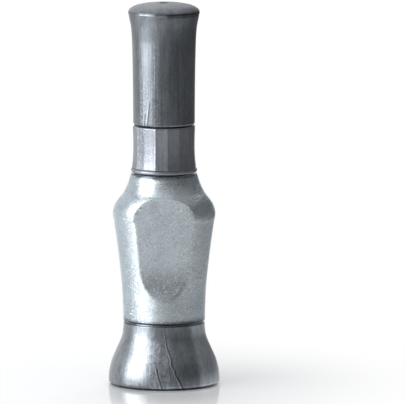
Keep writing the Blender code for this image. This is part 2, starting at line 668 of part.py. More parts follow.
# Stem and brush
def make_stem(material):
    """A slim tapering tube with a bulb at its end, a feed port and a bore for the tuft."""
    bulb = [(BULB_RADIUS * out, STEM_BOTTOM + BULB_LENGTH * up) for out, up in BULB_SHARES]
    outline = [(0.0, STEM_BOTTOM), (TUFT_BORE_RADIUS + FIT_GAP, STEM_BOTTOM)] + bulb
    outline += [(STEM_END_RADIUS, STEM_BOTTOM + BULB_LENGTH), (STEM_RADIUS, BODY_TOP),
                (STEM_RADIUS, STEM_TOP), (0.0, STEM_TOP)]
    piece = add_turned("stem", outline, material, SMALL_SEGMENTS)
    bore_floor = PORT_LEVEL - PORT_RADIUS
    above = STEM_TOP + CUT_OVERRUN
    bore = [(0.0, bore_floor), (STEM_BORE_RADIUS, bore_floor), (STEM_BORE_RADIUS, above),
            (0.0, above)]
    combine(piece, add_turned("stem_bore_cutter", bore, segments=FINE_SEGMENTS), 'DIFFERENCE')
    below = STEM_BOTTOM - CUT_OVERRUN
    depth = STEM_BOTTOM + TUFT_BORE_DEPTH
    tuft_bore = [(0.0, below), (TUFT_BORE_RADIUS, below), (TUFT_BORE_RADIUS, depth), (0.0, depth)]
    combine(piece, add_turned("tuft_bore_cutter", tuft_bore, segments=FINE_SEGMENTS), 'DIFFERENCE')
    return combine(piece, port_cutter(), 'DIFFERENCE')


def port_cutter():
    """A small round rod from the bore of the stem out through its front."""
    length = STEM_RADIUS + CUT_OVERRUN
    shape = bmesh.new()
    bmesh.ops.create_cone(shape, cap_ends=True, segments=FINE_SEGMENTS, radius1=PORT_RADIUS,
                          radius2=PORT_RADIUS, depth=length)
    rod = add_object("port_cutter", shape)
    rod.rotation_euler = (math.radians(90), 0, 0)
    rod.location = (0, -length / 2, PORT_LEVEL + PORT_RADIUS)
    return rod


def make_bristle_anchor(material):
    """A short wire across the bore, over which the tuft is folded."""
    shape = bmesh.new()
    bmesh.ops.create_cone(shape, cap_ends=True, segments=SMALL_SEGMENTS // 2, radius1=ANCHOR_RADIUS,
                          radius2=ANCHOR_RADIUS, depth=2 * TUFT_ROOT_RADIUS)
    wire = add_object("bristle_anchor", shape, material)
    wire.rotation_euler = (0, math.radians(90), 0)
    wire.location = (0, 0, TUFT_TOP + FINE_GAP + ANCHOR_RADIUS)
    return wire


def tuft_levels():
    """Radius and height of the tuft at its root, its belly and its blunt tip."""
    return ((TUFT_ROOT_RADIUS, TUFT_TOP - TUFT_SLICE / 2),
            (TUFT_BELLY_RADIUS, STEM_BOTTOM - TUFT_LENGTH * TUFT_BELLY_SHARE),
            (TUFT_TIP_RADIUS, TUFT_TIP))


def make_bristles(material):
    """Three-sided strands on a sunflower spiral: all scale together along the tuft, so none cross."""
    golden_turn = math.tau * (3 - math.sqrt(5)) / 2
    strand_share = 0.62 / math.sqrt(STRAND_COUNT)
    edge_share = 0.93
    shape = bmesh.new()
    for index in range(STRAND_COUNT):
        place = edge_share * math.sqrt((index + 0.5) / STRAND_COUNT)
        angle = index * golden_turn
        previous = None
        for radius, height in tuft_levels():
            middle_x = radius * place * math.cos(angle)
            middle_y = radius * place * math.sin(angle)
            ring = []
            for corner in range(3):
                turn = angle + math.tau * corner / 3
                ring.append(shape.verts.new((middle_x + radius * strand_share * math.cos(turn),
                                             middle_y + radius * strand_share * math.sin(turn),
                                             height)))
            if previous is None:
                shape.faces.new(ring)
            else:
                for corner in range(3):
                    after = (corner + 1) % 3
                    shape.faces.new((previous[corner], ring[corner], ring[after], previous[after]))
            previous = ring
        shape.faces.new(reversed(previous))
    bmesh.ops.recalc_face_normals(shape, faces=shape.faces)
    strands = add_object("strand_shapes", shape)
    slice_radius = TUFT_ROOT_RADIUS + FINE_GAP / 2
    outline = [(0.0, TUFT_TOP - TUFT_SLICE), (slice_radius, TUFT_TOP - TUFT_SLICE),
               (slice_radius, TUFT_TOP), (0.0, TUFT_TOP)]
    piece = add_turned("bristles", outline, material, SMALL_SEGMENTS)
    return combine(piece, strands, 'UNION')


# Cap
def make_cap_shell(material):
    """A long cap with a concave flare to its head, a low dome with a dimple, and a plain bore."""
    rise = CAP_HEIGHT - CAP_DOME_HEIGHT
    hollow = [(0.0, CAP_INNER_CEILING), (CAP_BORE_RADIUS, CAP_INNER_CEILING),
              (CAP_BORE_RADIUS, CAP_BOTTOM + CAP_EDGE)]
    mouth = [(CAP_BORE_RADIUS + CAP_EDGE, CAP_BOTTOM), (CAP_MOUTH_RADIUS - CAP_EDGE, CAP_BOTTOM)]
    side = [(CAP_MOUTH_RADIUS + CAP_BELLY * out, CAP_BOTTOM + rise * up)
            for out, up in CAP_SIDE_SHARES]
    head = [(CAP_NECK_RADIUS + CAP_FLARE * out, CAP_BOTTOM + rise * up)
            for out, up in CAP_FLARE_SHARES]
    dome = [(CAP_HEAD_RADIUS * out, CAP_BOTTOM + rise + CAP_DOME_HEIGHT * up)
            for out, up in CAP_DOME_SHARES]
    dimple = [(DIMPLE_RADIUS * out, CAP_TOP - DIMPLE_DEPTH * down) for out, down in DIMPLE_SHARES]
    outline = hollow + mouth + side + head + dome + dimple
    return add_turned("cap_shell", outline, material, BODY_SEGMENTS)


def make_cap_liner(material):
    """The inner sleeve: a skirt that centres it, a cup over the barrel and a seat for the plug."""
    barrel = BARREL_RADIUS + FIT_GAP
    tube = TIP_TUBE_RADIUS + FIT_GAP
    seat = PLUG_RADIUS + FINE_GAP
    skirt = CAP_BORE_RADIUS - FIT_GAP
    cone_bottom = BARREL_TOP + FIT_GAP
    cone_top = TIP_CONE_TOP + FIT_GAP
    liner_top = CAP_INNER_CEILING - FINE_GAP
    seat_bottom = PLUG_BOTTOM + PLUG_EDGE
    outline = [(barrel, LINER_BOTTOM), (skirt, LINER_BOTTOM),
               (skirt, LINER_BOTTOM + LINER_SKIRT_THICKNESS),
               (barrel + LINER_WALL, LINER_BOTTOM + 2 * LINER_SKIRT_THICKNESS),
               (barrel + LINER_WALL, cone_bottom), (tube + LINER_WALL, cone_top + LINER_WALL),
               (tube + LINER_WALL, liner_top), (seat, liner_top), (seat, seat_bottom),
               (tube, seat_bottom), (tube, cone_top), (barrel, cone_bottom)]
    return add_ring("cap_liner", outline, material)


def make_needle_seal(material):
    """A soft plug with a blind hole, into which the end of the needle goes."""
    hole = NEEDLE_RADIUS + FINE_GAP
    crown = PLUG_TOP - PLUG_CROWN
    outline = [(0.0, crown), (hole, crown), (hole, PLUG_BOTTOM),
               (PLUG_RADIUS - PLUG_EDGE, PLUG_BOTTOM), (PLUG_RADIUS, PLUG_BOTTOM + PLUG_EDGE),
               (PLUG_RADIUS, PLUG_TOP), (0.0, PLUG_TOP)]
    return add_turned("needle_seal", outline, material, SMALL_SEGMENTS)


def clear_scene():
    """Removes every object that the scene starts with."""
    for item in list(bpy.data.objects):
        bpy.data.objects.remove(item, do_unlink=True)


def place_on_axis(name, level, pieces):
    """Parents the pieces of one moving group to an empty on the pen's axis."""
    carrier = bpy.data.objects.new(name, None)
    bpy.context.scene.collection.objects.link(carrier)
    carrier.location = (0, 0, level)
    for piece in pieces:
        piece.parent = carrier
        piece.location.z -= level
    return carrier


def main():
    """Builds every piece of the pen, closed, and groups what moves together."""
    clear_scene()
    pewter = plastic("pewter_plastic", (0.13, 0.135, 0.14), 0.30, metallic=0.75)
    silver = plastic("silver_plastic", (0.33, 0.34, 0.35), 0.32, metallic=0.80)
    clear = plastic("clear_plastic", (0.90, 0.92, 0.93), 0.05, transmission=0.95)
    shimmer = plastic("shimmer_polish", (0.55, 0.58, 0.60), 0.35, metallic=0.60)
    natural = plastic("natural_plastic", (0.72, 0.69, 0.64), 0.40)
    liner = plastic("white_plastic", (0.80, 0.80, 0.78), 0.45)
    foam = plastic("seal_foam", (0.75, 0.75, 0.72), 0.85)
    dark = plastic("dark_disc", (0.03, 0.03, 0.035), 0.60)
    steel = plastic("needle_steel", (0.30, 0.30, 0.31), 0.25, metallic=1.0)
    ball_steel = plastic("ball_steel", (0.60, 0.60, 0.61), 0.15, metallic=1.0)
    brass = plastic("anchor_brass", (0.60, 0.45, 0.20), 0.35, metallic=1.0)
    hair = plastic("bristle_nylon", (0.66, 0.66, 0.64), 0.50)
    rubber = plastic("plug_rubber", (0.55, 0.55, 0.55), 0.80)

    make_base_shell(pewter)
    make_base_disc(dark)
    make_bottle(clear)
    make_polish(shimmer)
    make_mixing_balls(ball_steel)
    make_neck_wiper(liner)

    seal = make_neck_seal(foam)
    applicator = [make_collar(silver), make_inner_cap(liner), make_nozzle(silver),
                  make_needle(steel), make_stem(natural), make_bristle_anchor(brass),
                  make_bristles(hair)]
    cap = [make_cap_shell(pewter), make_cap_liner(liner), make_needle_seal(rubber)]
    lift_carrier = place_on_axis("applicator_lift_axis", BODY_TOP, [seal])
    turn_carrier = place_on_axis("applicator_turn_axis", BODY_TOP, applicator)
    cap_carrier = place_on_axis("cap_pull_axis", CAP_BOTTOM, cap)
    turn_carrier.parent = lift_carrier
    turn_carrier.location.z -= BODY_TOP
    cap_carrier.parent = turn_carrier
    cap_carrier.location.z -= BODY_TOP


main()
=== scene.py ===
"""Nail art pen: the finished look of the closed pen, with the needle nozzle under its cap and the
brush in its bottle, on a pale studio floor. Metres, +Z up, the front panel looks along -Y.

Every new piece is a surface worked out with numpy from the frame's own outlines.
"""

import math

import bpy
import numpy as np
from bpy.props import FloatProperty, FloatVectorProperty, IntProperty, PointerProperty
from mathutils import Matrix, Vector


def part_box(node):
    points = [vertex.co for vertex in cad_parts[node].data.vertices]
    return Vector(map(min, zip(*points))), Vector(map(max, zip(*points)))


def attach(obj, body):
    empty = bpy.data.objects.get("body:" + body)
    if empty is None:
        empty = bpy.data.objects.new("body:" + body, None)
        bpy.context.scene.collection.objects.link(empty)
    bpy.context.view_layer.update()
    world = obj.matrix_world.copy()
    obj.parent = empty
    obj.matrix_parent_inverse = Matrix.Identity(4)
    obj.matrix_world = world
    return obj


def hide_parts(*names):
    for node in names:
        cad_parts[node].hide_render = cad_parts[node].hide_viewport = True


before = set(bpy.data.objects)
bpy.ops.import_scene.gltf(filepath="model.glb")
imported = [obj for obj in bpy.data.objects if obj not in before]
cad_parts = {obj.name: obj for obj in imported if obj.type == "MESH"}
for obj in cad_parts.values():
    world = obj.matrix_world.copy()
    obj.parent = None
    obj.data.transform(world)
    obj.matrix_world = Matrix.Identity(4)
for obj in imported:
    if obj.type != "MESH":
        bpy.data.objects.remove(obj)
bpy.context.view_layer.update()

bl_info = {
    "name": "Nail Art Pen",
    "version": (1, 0, 0),
    "blender": (4, 5, 0),
    "location": "View3D > Sidebar > Nail Art Pen",
    "description": "Dresses a two-way nail art pen with its finishes",
    "category": "Object",
}

# Bottle and its fill, as the frame cuts them
PANEL_DEPTH = 0.0026
PANEL_DROP = 0.0122
PANEL_LEAN = math.radians(5.45)
PANEL_SWEEP_RADIUS = 0.0250
BOTTLE_WALL = 0.0016
FIT_GAP = 0.0002
POOL_RADIUS = 0.0039
LEDGE_THICKNESS = 0.0006
# What shows through the clear plastic: the wall behind a panel goes from thin to thick between the
# levels of the panel's foot, and a skin is left of the ledges at the cavity's floor and roof
WALL_CHANGE = 0.00022
PANEL_FOOT = (0.0200, 0.0285)
LEDGE_SKIN = 0.0001

# Facets of the collar and ribs of the nozzle, as the frame has them
FACET_COUNT = 16
FACET_PHASE = math.radians(7.1 - 90)
BEAD_HEIGHT = 0.0011
BEAD_GROOVE = 0.00016
RIB_COUNT = 24
RIB_RADIUS = 0.00062
RIB_LEAN = 0.00024
RIB_LENGTH = 0.0045
RIM_LIP_HEIGHT = 0.00025

# Fineness of the surfaces: how near places and levels count as one, the turn by which a section
# misses the corners of the mesh, what counts as straight, uneven or a corner, and how a corner goes
NEAR = 0.000003
TINY = 0.000000001
SLIVER = 0.0002
STRAIGHT_SINE = 0.004
UNEVEN_RATIO = 4
CORNER_TURN = math.radians(35)
RIM_TURN = math.radians(26)
SHARP_TURN = math.radians(32)
CORNER_SHARE = 0.45
CORNER_STEPS = 4
# Counts of points round a piece, a facet, a rib and a hair, and along a hair and an outline's edge
ROUND = 192
SMALL_ROUND = 96
FINE_ROUND = 48
FACET_STEPS = 14
RIB_STEPS = 12
HAIR_SIDES = 4
HAIR_LEVELS = 15
CURVE_STEPS = 5
FINE_CURVE_STEPS = 6

# Longest edges of the fine lines
BOTTLE_PART = 0.0004
COLLAR_PART = 0.00012
CUP_PART = 0.0003
NOZZLE_PART = 0.00025
CAP_PART = 0.0003

# Panels: the least sine that their reach is divided by
LEAST_SINE = 0.05
# Threads: the turn over which they run out, the flat share of their width, the cup's thread, and
# how many turns more than the neck's its start lies under its ceiling
RUN_OUT_TURN = 0.09
THREAD_CREST_SHARE = 0.25
CUP_THREAD_HEIGHT = 0.0002
CUP_THREAD_MORE = 0.5
# Collar and nozzle: how close points crowd to a facet's edges, how far facets reach into the bead,
# how far from the bore the ribs begin, and the roundings of the ribs' feet and of the needle
FACET_CROWDING = 0.88
BEAD_MARGIN = 0.00005
RIB_MARGIN = 0.0005
RIB_EDGE = 0.00006
NEEDLE_EDGE = 0.00004
# Lip round the cap's head: its reach up and down, in moulded edges, the share of that where it is
# full, and the share of the rim's radius past which a place lies on the outer side
LIP_BAND_SHARE = 1.5
LIP_FULL_SHARE = 0.6
HEAD_SHARE = 0.9

# Tuft: its radii at its root, at the stem's end, at its belly and at its tip, how high the belly
# lies, how much of the radius the hairs fill, how much shorter a hair is by its number and by its
# place, and a hair's thickness with its shares along the hair
TUFT_RADII = (0.00027, 0.00031, 0.00049, 0.00022)
BELLY_SHARE = 0.31
FILLED_SHARE = 0.95
SHORTER_SHARES = (0.045, 0.02)
GOLDEN_SHARE = 0.618034
HAIR_SHARE = 0.62
HAIR_TAPER = ((0, 0.8, 1), (1, 1, 0.25))

# What the properties of like kind share
LENGTH = {"subtype": 'DISTANCE', "unit": 'LENGTH'}
TINT = {"min": 0.0, "max": 1.0, "subtype": 'COLOR'}


class PenSizes(bpy.types.PropertyGroup):
    """Small sizes of the finished pen that the frame leaves to its dress."""
    moulded_edge: FloatProperty(
        name="Moulded edge", description="Rounding of the small edges of moulded pieces",
        default=0.00018, min=0.00002, max=0.001, **LENGTH)
    panel_edge: FloatProperty(
        name="Panel edge", description="How soft the rim of the bottle's flat panels is",
        default=0.00012, min=0.00005, max=0.001, **LENGTH)
    facet_edge: FloatProperty(
        name="Facet edge", description="How soft the edges between the collar's facets are",
        default=0.00004, min=0.00001, max=0.0003, **LENGTH)
    rim_lip: FloatProperty(
        name="Rim lip", description="How far the rim of the cap's head stands out of its side",
        default=0.00008, min=0.0, max=0.0003, **LENGTH)
    wet_depth: FloatProperty(
        name="Wet depth", description="How far the polish reaches into the wall that it wets",
        default=0.00003, min=0.0, max=0.0002, **LENGTH)
    thread_pitch: FloatProperty(
        name="Thread pitch", description="Rise of the neck thread in one turn",
        default=0.0027, min=0.001, max=0.005, **LENGTH)
    thread_height: FloatProperty(
        name="Thread height", description="How far the thread stands out of the neck",
        default=0.00045, min=0.0001, max=0.0007, **LENGTH)
    thread_width: FloatProperty(
        name="Thread width", description="Width of the thread at its root",
        default=0.0013, min=0.0005, max=0.002, **LENGTH)
    thread_turns: FloatProperty(
        name="Thread turns", description="Turns of the neck thread", default=1.75, min=0.5, max=3.0)
    strand_count: IntProperty(
        name="Strands", description="Hairs in the striping brush", default=380, min=300, max=500)
    flake_size: FloatProperty(
        name="Flake size", description="Width of one flake of the shimmer polish",
        default=0.00013, min=0.00005, max=0.0006, **LENGTH)


class PenColours(bpy.types.PropertyGroup):
    """Colours of the pen's materials and of its floor."""
    pewter: FloatVectorProperty(
        name="Pewter", description="Cap and base", default=(0.252, 0.272, 0.296), **TINT)
    silver: FloatVectorProperty(
        name="Silver", description="Collar and nozzle", default=(0.250, 0.262, 0.290), **TINT)
    shimmer: FloatVectorProperty(
        name="Shimmer", description="Polish in the bottle", default=(0.56, 0.60, 0.63), **TINT)
    clear: FloatVectorProperty(
        name="Clear plastic", description="Bottle", default=(0.965, 0.985, 0.995), **TINT)
    natural: FloatVectorProperty(
        name="Natural plastic", description="Stem of the brush", default=(0.62, 0.585, 0.54), **TINT)
    milky: FloatVectorProperty(
        name="Milky plastic", description="Cup, sleeve and wiper", default=(0.70, 0.70, 0.68), **TINT)
    foam: FloatVectorProperty(
        name="Foam", description="Gasket on the neck", default=(0.66, 0.66, 0.63), **TINT)
    rubber: FloatVectorProperty(
        name="Rubber", description="Plug for the needle", default=(0.42, 0.42, 0.43), **TINT)
    disc: FloatVectorProperty(
        name="Disc", description="Closing disc under the base", default=(0.018, 0.019, 0.022), **TINT)
    hair: FloatVectorProperty(
        name="Hair", description="Bristles", default=(0.50, 0.50, 0.49), **TINT)
    steel: FloatVectorProperty(
        name="Steel", description="Needle and balls", default=(0.33, 0.335, 0.345), **TINT)
    brass: FloatVectorProperty(
        name="Brass", description="Anchor wire of the brush", default=(0.48, 0.32, 0.12), **TINT)
    floor: FloatVectorProperty(
        name="Floor", description="Pale floor", default=(0.90, 0.905, 0.91), **TINT)


def sizes():
    """The scene's sizes of the pen."""
    return bpy.context.scene.pen_sizes


def colours():
    """The scene's colours of the pen."""
    return bpy.context.scene.pen_colours


# Outlines: rows of (radius, level) that run up the outer side of a piece
def section_of(node, turn=0.0):
    """Outline of a piece of the frame where the half plane at an angle round the axis cuts it: each
    edge of its mesh that crosses the plane gives one point, and each triangle joins two of them.
    It returns the ordered rows, up the outer side, and whether they close into a ring."""
    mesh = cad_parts[node].data
    flat = np.empty(len(mesh.vertices) * 3, np.float32)
    mesh.vertices.foreach_get("co", flat)
    corners = np.empty(len(mesh.loops), np.int32)
    mesh.loops.foreach_get("vertex_index", corners)
    points, merged = np.unique(np.round(flat.reshape(-1, 3).astype(float), 7), axis=0,
                               return_inverse=True)
    triangles = merged.ravel()[corners].reshape(-1, 3)
    turn += SLIVER
    along = points[:, 0] * math.cos(turn) + points[:, 1] * math.sin(turn)
    aside = points[:, 1] * math.cos(turn) - points[:, 0] * math.sin(turn) + TINY
    edges = np.sort(np.stack((triangles, np.roll(triangles, -1, axis=1)), -1), axis=2)
    crossing = np.sign(aside[edges[..., 0]]) != np.sign(aside[edges[..., 1]])
    cut, joined = np.unique(edges[crossing], axis=0, return_inverse=True)
    share = (aside[cut[:, 0]] / (aside[cut[:, 0]] - aside[cut[:, 1]]))[:, None]
    place = np.stack((along, points[:, 2]), -1)
    rows = place[cut[:, 0]] * (1 - share) + place[cut[:, 1]] * share
    links = {}
    for a, b in joined.reshape(-1, 2).tolist():
        links.setdefault(a, []).append(b)
        links.setdefault(b, []).append(a)
    order, seen, onward = [], set(), [int(rows[:, 0].argmax())]
    while onward:
        order.append(onward[0])
        seen.add(onward[0])
        onward = [point for point in links[order[-1]] if point not in seen]
    outline = rows[order]
    after = np.roll(outline, -1, axis=0)
    if np.sum(outline[:, 0] * after[:, 1] - after[:, 0] * outline[:, 1]) < 0:
        outline = outline[::-1]
    closed = bool((outline[:, 0] > 0).all())
    if not closed:
        outline = right_half(outline)
    return plain_rows(outline, closed), closed


def right_half(loop):
    """The part of a loop on the right of the axis, with an end on the axis where it crosses it."""
    before = np.roll(loop, 1, axis=0)
    loop = np.roll(loop, -int(np.flatnonzero((before[:, 0] < 0) & (loop[:, 0] >= 0))[0]), axis=0)
    count = int(np.flatnonzero(loop[:, 0] < 0)[0])
    ends = []
    for inside, outside in ((loop[0], loop[-1]), (loop[count - 1], loop[count])):
        share = inside[0] / (inside[0] - outside[0])
        ends.append((0.0, inside[1] + (outside[1] - inside[1]) * share))
    return np.vstack((ends[:1], loop[:count], ends[1:]))


def plain_rows(outline, closed):
    """An outline without the rows that lie close to the last one or on the way to the next."""
    step = np.linalg.norm(outline - np.roll(outline, 1, axis=0), axis=1)
    if not closed:
        step[0] = math.inf
    outline = outline[step > NEAR]
    into, out = outline - np.roll(outline, 1, axis=0), np.roll(outline, -1, axis=0) - outline
    turned_by = np.abs(into[:, 0] * out[:, 1] - into[:, 1] * out[:, 0])
    bends = turned_by > STRAIGHT_SINE * np.linalg.norm(into, axis=1) * np.linalg.norm(out, axis=1)
    if not closed:
        bends[[0, -1]] = True
    return outline[bends]


def drawn(outline, closed, softness, steps=CURVE_STEPS, corner_turn=CORNER_TURN):
    """Fine line through the corners of an outline. Where it turns gently it follows cubic curves
    whose slope at each point is the mean of the two edges there, the shorter one counting more.
    Where it turns sharply a quadratic curve rounds the corner, starting at the softness from it."""
    after = np.roll(outline, -1, axis=0)
    length = np.maximum(np.linalg.norm(after - outline, axis=1), TINY)[:, None]
    unit = (after - outline) / length
    before_unit, before_length = np.roll(unit, 1, axis=0), np.roll(length, 1, axis=0)
    bend = np.sum(unit * before_unit, axis=1)
    uneven = np.maximum(length / before_length, before_length / length)[:, 0] > UNEVEN_RATIO
    hard = (bend < math.cos(corner_turn)) | (uneven & (bend < math.cos(corner_turn / 4)))
    if not closed:
        hard[[0, -1]] = True
    slope = (before_unit * length + unit * before_length) / (length + before_length)
    first = np.arange(len(outline) if closed else len(outline) - 1)
    second = (first + 1) % len(outline)
    hard_first, hard_second = hard[first, None], hard[second, None]
    out = np.where(hard_first, 1.5 * unit[first] - 0.5 * slope[second], slope[first])
    into = np.where(hard_second, 1.5 * unit[first] - 0.5 * slope[first], slope[second])
    straight = hard_first & hard_second
    out, into = np.where(straight, unit[first], out), np.where(straight, unit[first], into)
    t = (np.arange(steps) / steps)[None, :, None]
    start, end, reach = outline[first, None], outline[second, None], length[first, None]
    curve = ((2 * t ** 3 - 3 * t ** 2 + 1) * start + (t ** 3 - 2 * t ** 2 + t) * reach * out[:, None]
             + (3 * t ** 2 - 2 * t ** 3) * end + (t ** 3 - t ** 2) * reach * into[:, None])
    keep = np.ones(curve.shape[:2], bool)
    keep[straight[:, 0], 1:] = False
    sharp = np.zeros(curve.shape[:2], bool)
    sharp[:, 0] = hard[first]
    line, sharp = curve[keep], sharp[keep]
    if not closed:
        line, sharp = np.vstack((line, outline[-1:])), np.append(sharp, False)
        sharp[0] = False
    return rounded(line, sharp, softness, closed)


def rounded(line, sharp, softness, closed):
    """Rounds the marked corners of a line, each by a quadratic curve between its two edges."""
    to_next = np.roll(line, -1, axis=0) - line
    length = np.maximum(np.linalg.norm(to_next, axis=1), TINY)
    unit = to_next / length[:, None]
    reach = np.minimum(softness, CORNER_SHARE * np.minimum(length, np.roll(length, 1)))
    reach = np.where(sharp, reach, 0.0)[:, None, None]
    t = np.linspace(0, 1, CORNER_STEPS + 1)[None, :, None]
    before, after = -np.roll(unit, 1, axis=0)[:, None], unit[:, None]
    curve = (line[:, None] + reach * ((1 - t) ** 2 * before + t ** 2 * after)).reshape(-1, 2)
    moved = np.linalg.norm(curve - np.roll(curve, 1, axis=0), axis=1) > TINY
    if not closed:
        moved[0] = True
    return curve[moved]


def refined(line, longest, closed):
    """Cuts every edge of a line into equal parts that are no longer than the limit."""
    p = np.vstack((line, line[:1])) if closed else line
    length = np.linalg.norm(np.diff(p, axis=0), axis=1)
    parts = np.maximum(np.ceil(length / longest).astype(int), 1)
    edge = np.repeat(np.arange(len(parts)), parts)
    share = (np.arange(parts.sum()) - np.repeat(np.cumsum(parts) - parts, parts)) / parts[edge]
    inside = p[edge] + (p[edge + 1] - p[edge]) * share[:, None]
    return inside if closed else np.vstack((inside, p[-1:]))


def fine_line(node, longest, turn=0.0, **drawing):
    """Outline of a piece of the frame, and its fine line with softly moulded edges, cut into parts."""
    outline, closed = section_of(node, turn)
    return outline, refined(drawn(outline, closed, sizes().moulded_edge, **drawing), longest, closed)


def moved_out(outline, distance):
    """A closed outline moved outwards: each row goes along the mean of its two edges' normals, as
    far as keeps both edges at the distance."""
    along = np.roll(outline, -1, axis=0) - outline
    along = along / np.linalg.norm(along, axis=1)[:, None]
    normal = np.stack((along[:, 1], -along[:, 0]), -1)
    middle = normal + np.roll(normal, 1, axis=0)
    return outline + distance * 2 * middle / np.sum(middle * middle, axis=1)[:, None]


def soft_least(a, b, reach):
    """The smaller of two values, with the crease between them rounded over the reach."""
    share = np.clip(0.5 + 0.5 * (b - a) / reach, 0, 1)
    return b * (1 - share) + a * share - reach * share * (1 - share)


def soft_most(a, b, reach):
    """The larger of two values, with the valley between them rounded over the reach."""
    return -soft_least(-a, -b, reach)


def ramp(value, low, high):
    """A smooth step from 0 at the low value to 1 at the high one."""
    share = np.clip((value - low) / (high - low), 0, 1)
    return share * share * (3 - 2 * share)


# Meshes from arrays
def around(count):
    """Equal angles all round the axis."""
    return math.tau * np.arange(count) / count


def grid_faces(rows, columns, closed_rows=False):
    """Quads of a grid of points whose columns go all round."""
    row, column = np.meshgrid(np.arange(rows if closed_rows else rows - 1), np.arange(columns),
                              indexing="ij")
    next_row, next_column = (row + 1) % rows, (column + 1) % columns
    return np.stack((row * columns + column, row * columns + next_column,
                     next_row * columns + next_column, next_row * columns + column),
                    -1).reshape(-1, 4)


def fan_faces(hub, first, count):
    """Triangles that join a hub to the ring of points that starts at a place."""
    column = np.arange(count)
    return np.stack((np.full(count, hub), first + column, first + (column + 1) % count), -1)


def placed(name, data):
    """A new object of the scene that holds the data."""
    item = bpy.data.objects.new(name, data)
    bpy.context.scene.collection.objects.link(item)
    return item


def make_mesh(name, points, faces):
    """A mesh object at the origin, from an array of points and arrays of faces, shaded smooth."""
    mesh = bpy.data.meshes.new(name)
    counts = np.concatenate([np.full(len(part), part.shape[1]) for part in faces])
    corners = np.concatenate([part.ravel() for part in faces])
    mesh.vertices.add(len(points))
    mesh.vertices.foreach_set("co", np.asarray(points, np.float32).ravel())
    mesh.loops.add(len(corners))
    mesh.loops.foreach_set("vertex_index", corners.astype(np.int32))
    mesh.polygons.add(len(counts))
    mesh.polygons.foreach_set("loop_start", (np.cumsum(counts) - counts).astype(np.int32))
    mesh.update(calc_edges=True)
    mesh.shade_smooth()
    mesh.set_sharp_from_angle(angle=SHARP_TURN)
    return placed(name, mesh)


def turned(name, line, angles, radius_of=None, middle=(0.0, 0.0)):
    """A surface of revolution: the point at angle u on row v is (r cos u, r sin u, z), where (r, z)
    is row v of the line and radius_of(r, z, u) may shape r. A line that starts and ends on the axis
    gets a pole at each end, and any other line closes into a ring. The middle moves it aside."""
    poles = line[0, 0] < NEAR and line[-1, 0] < NEAR
    body = line[1:-1] if poles else line
    count = len(angles)
    radius, level = np.repeat(body[:, :1], count, 1), np.repeat(body[:, 1:], count, 1)
    if radius_of is not None:
        radius = radius_of(radius, level, np.broadcast_to(angles, radius.shape))
    x, y = middle
    points = np.stack((x + radius * np.cos(angles), y + radius * np.sin(angles), level), -1)
    points = points.reshape(-1, 3)
    faces = [grid_faces(len(body), count, not poles)]
    if poles:
        bottom, top = len(points), len(points) + 1
        points = np.vstack((points, (x, y, line[0, 1]), (x, y, line[-1, 1])))
        faces.append(fan_faces(bottom, 0, count)[:, [0, 2, 1]])
        faces.append(fan_faces(top, (len(body) - 1) * count, count))
    return make_mesh(name, points, faces)


def finished(piece, body, slot, *nodes):
    """Gives a piece its slot's material, its body and the nodes that it replaces."""
    piece.data.materials.append(material_of(slot))
    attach(piece, body)
    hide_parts(*nodes)


def redraw(name, node, body, slot, columns=SMALL_ROUND, softness=None, steps=CURVE_STEPS):
    """A turned piece of the frame again, with fine curves and softly moulded edges."""
    outline, closed = section_of(node)
    line = drawn(outline, closed, sizes().moulded_edge if softness is None else softness, steps)
    finished(turned(name, line, around(columns)), body, slot, node)


# Materials
WHITE = (1.0, 1.0, 1.0, 1.0)


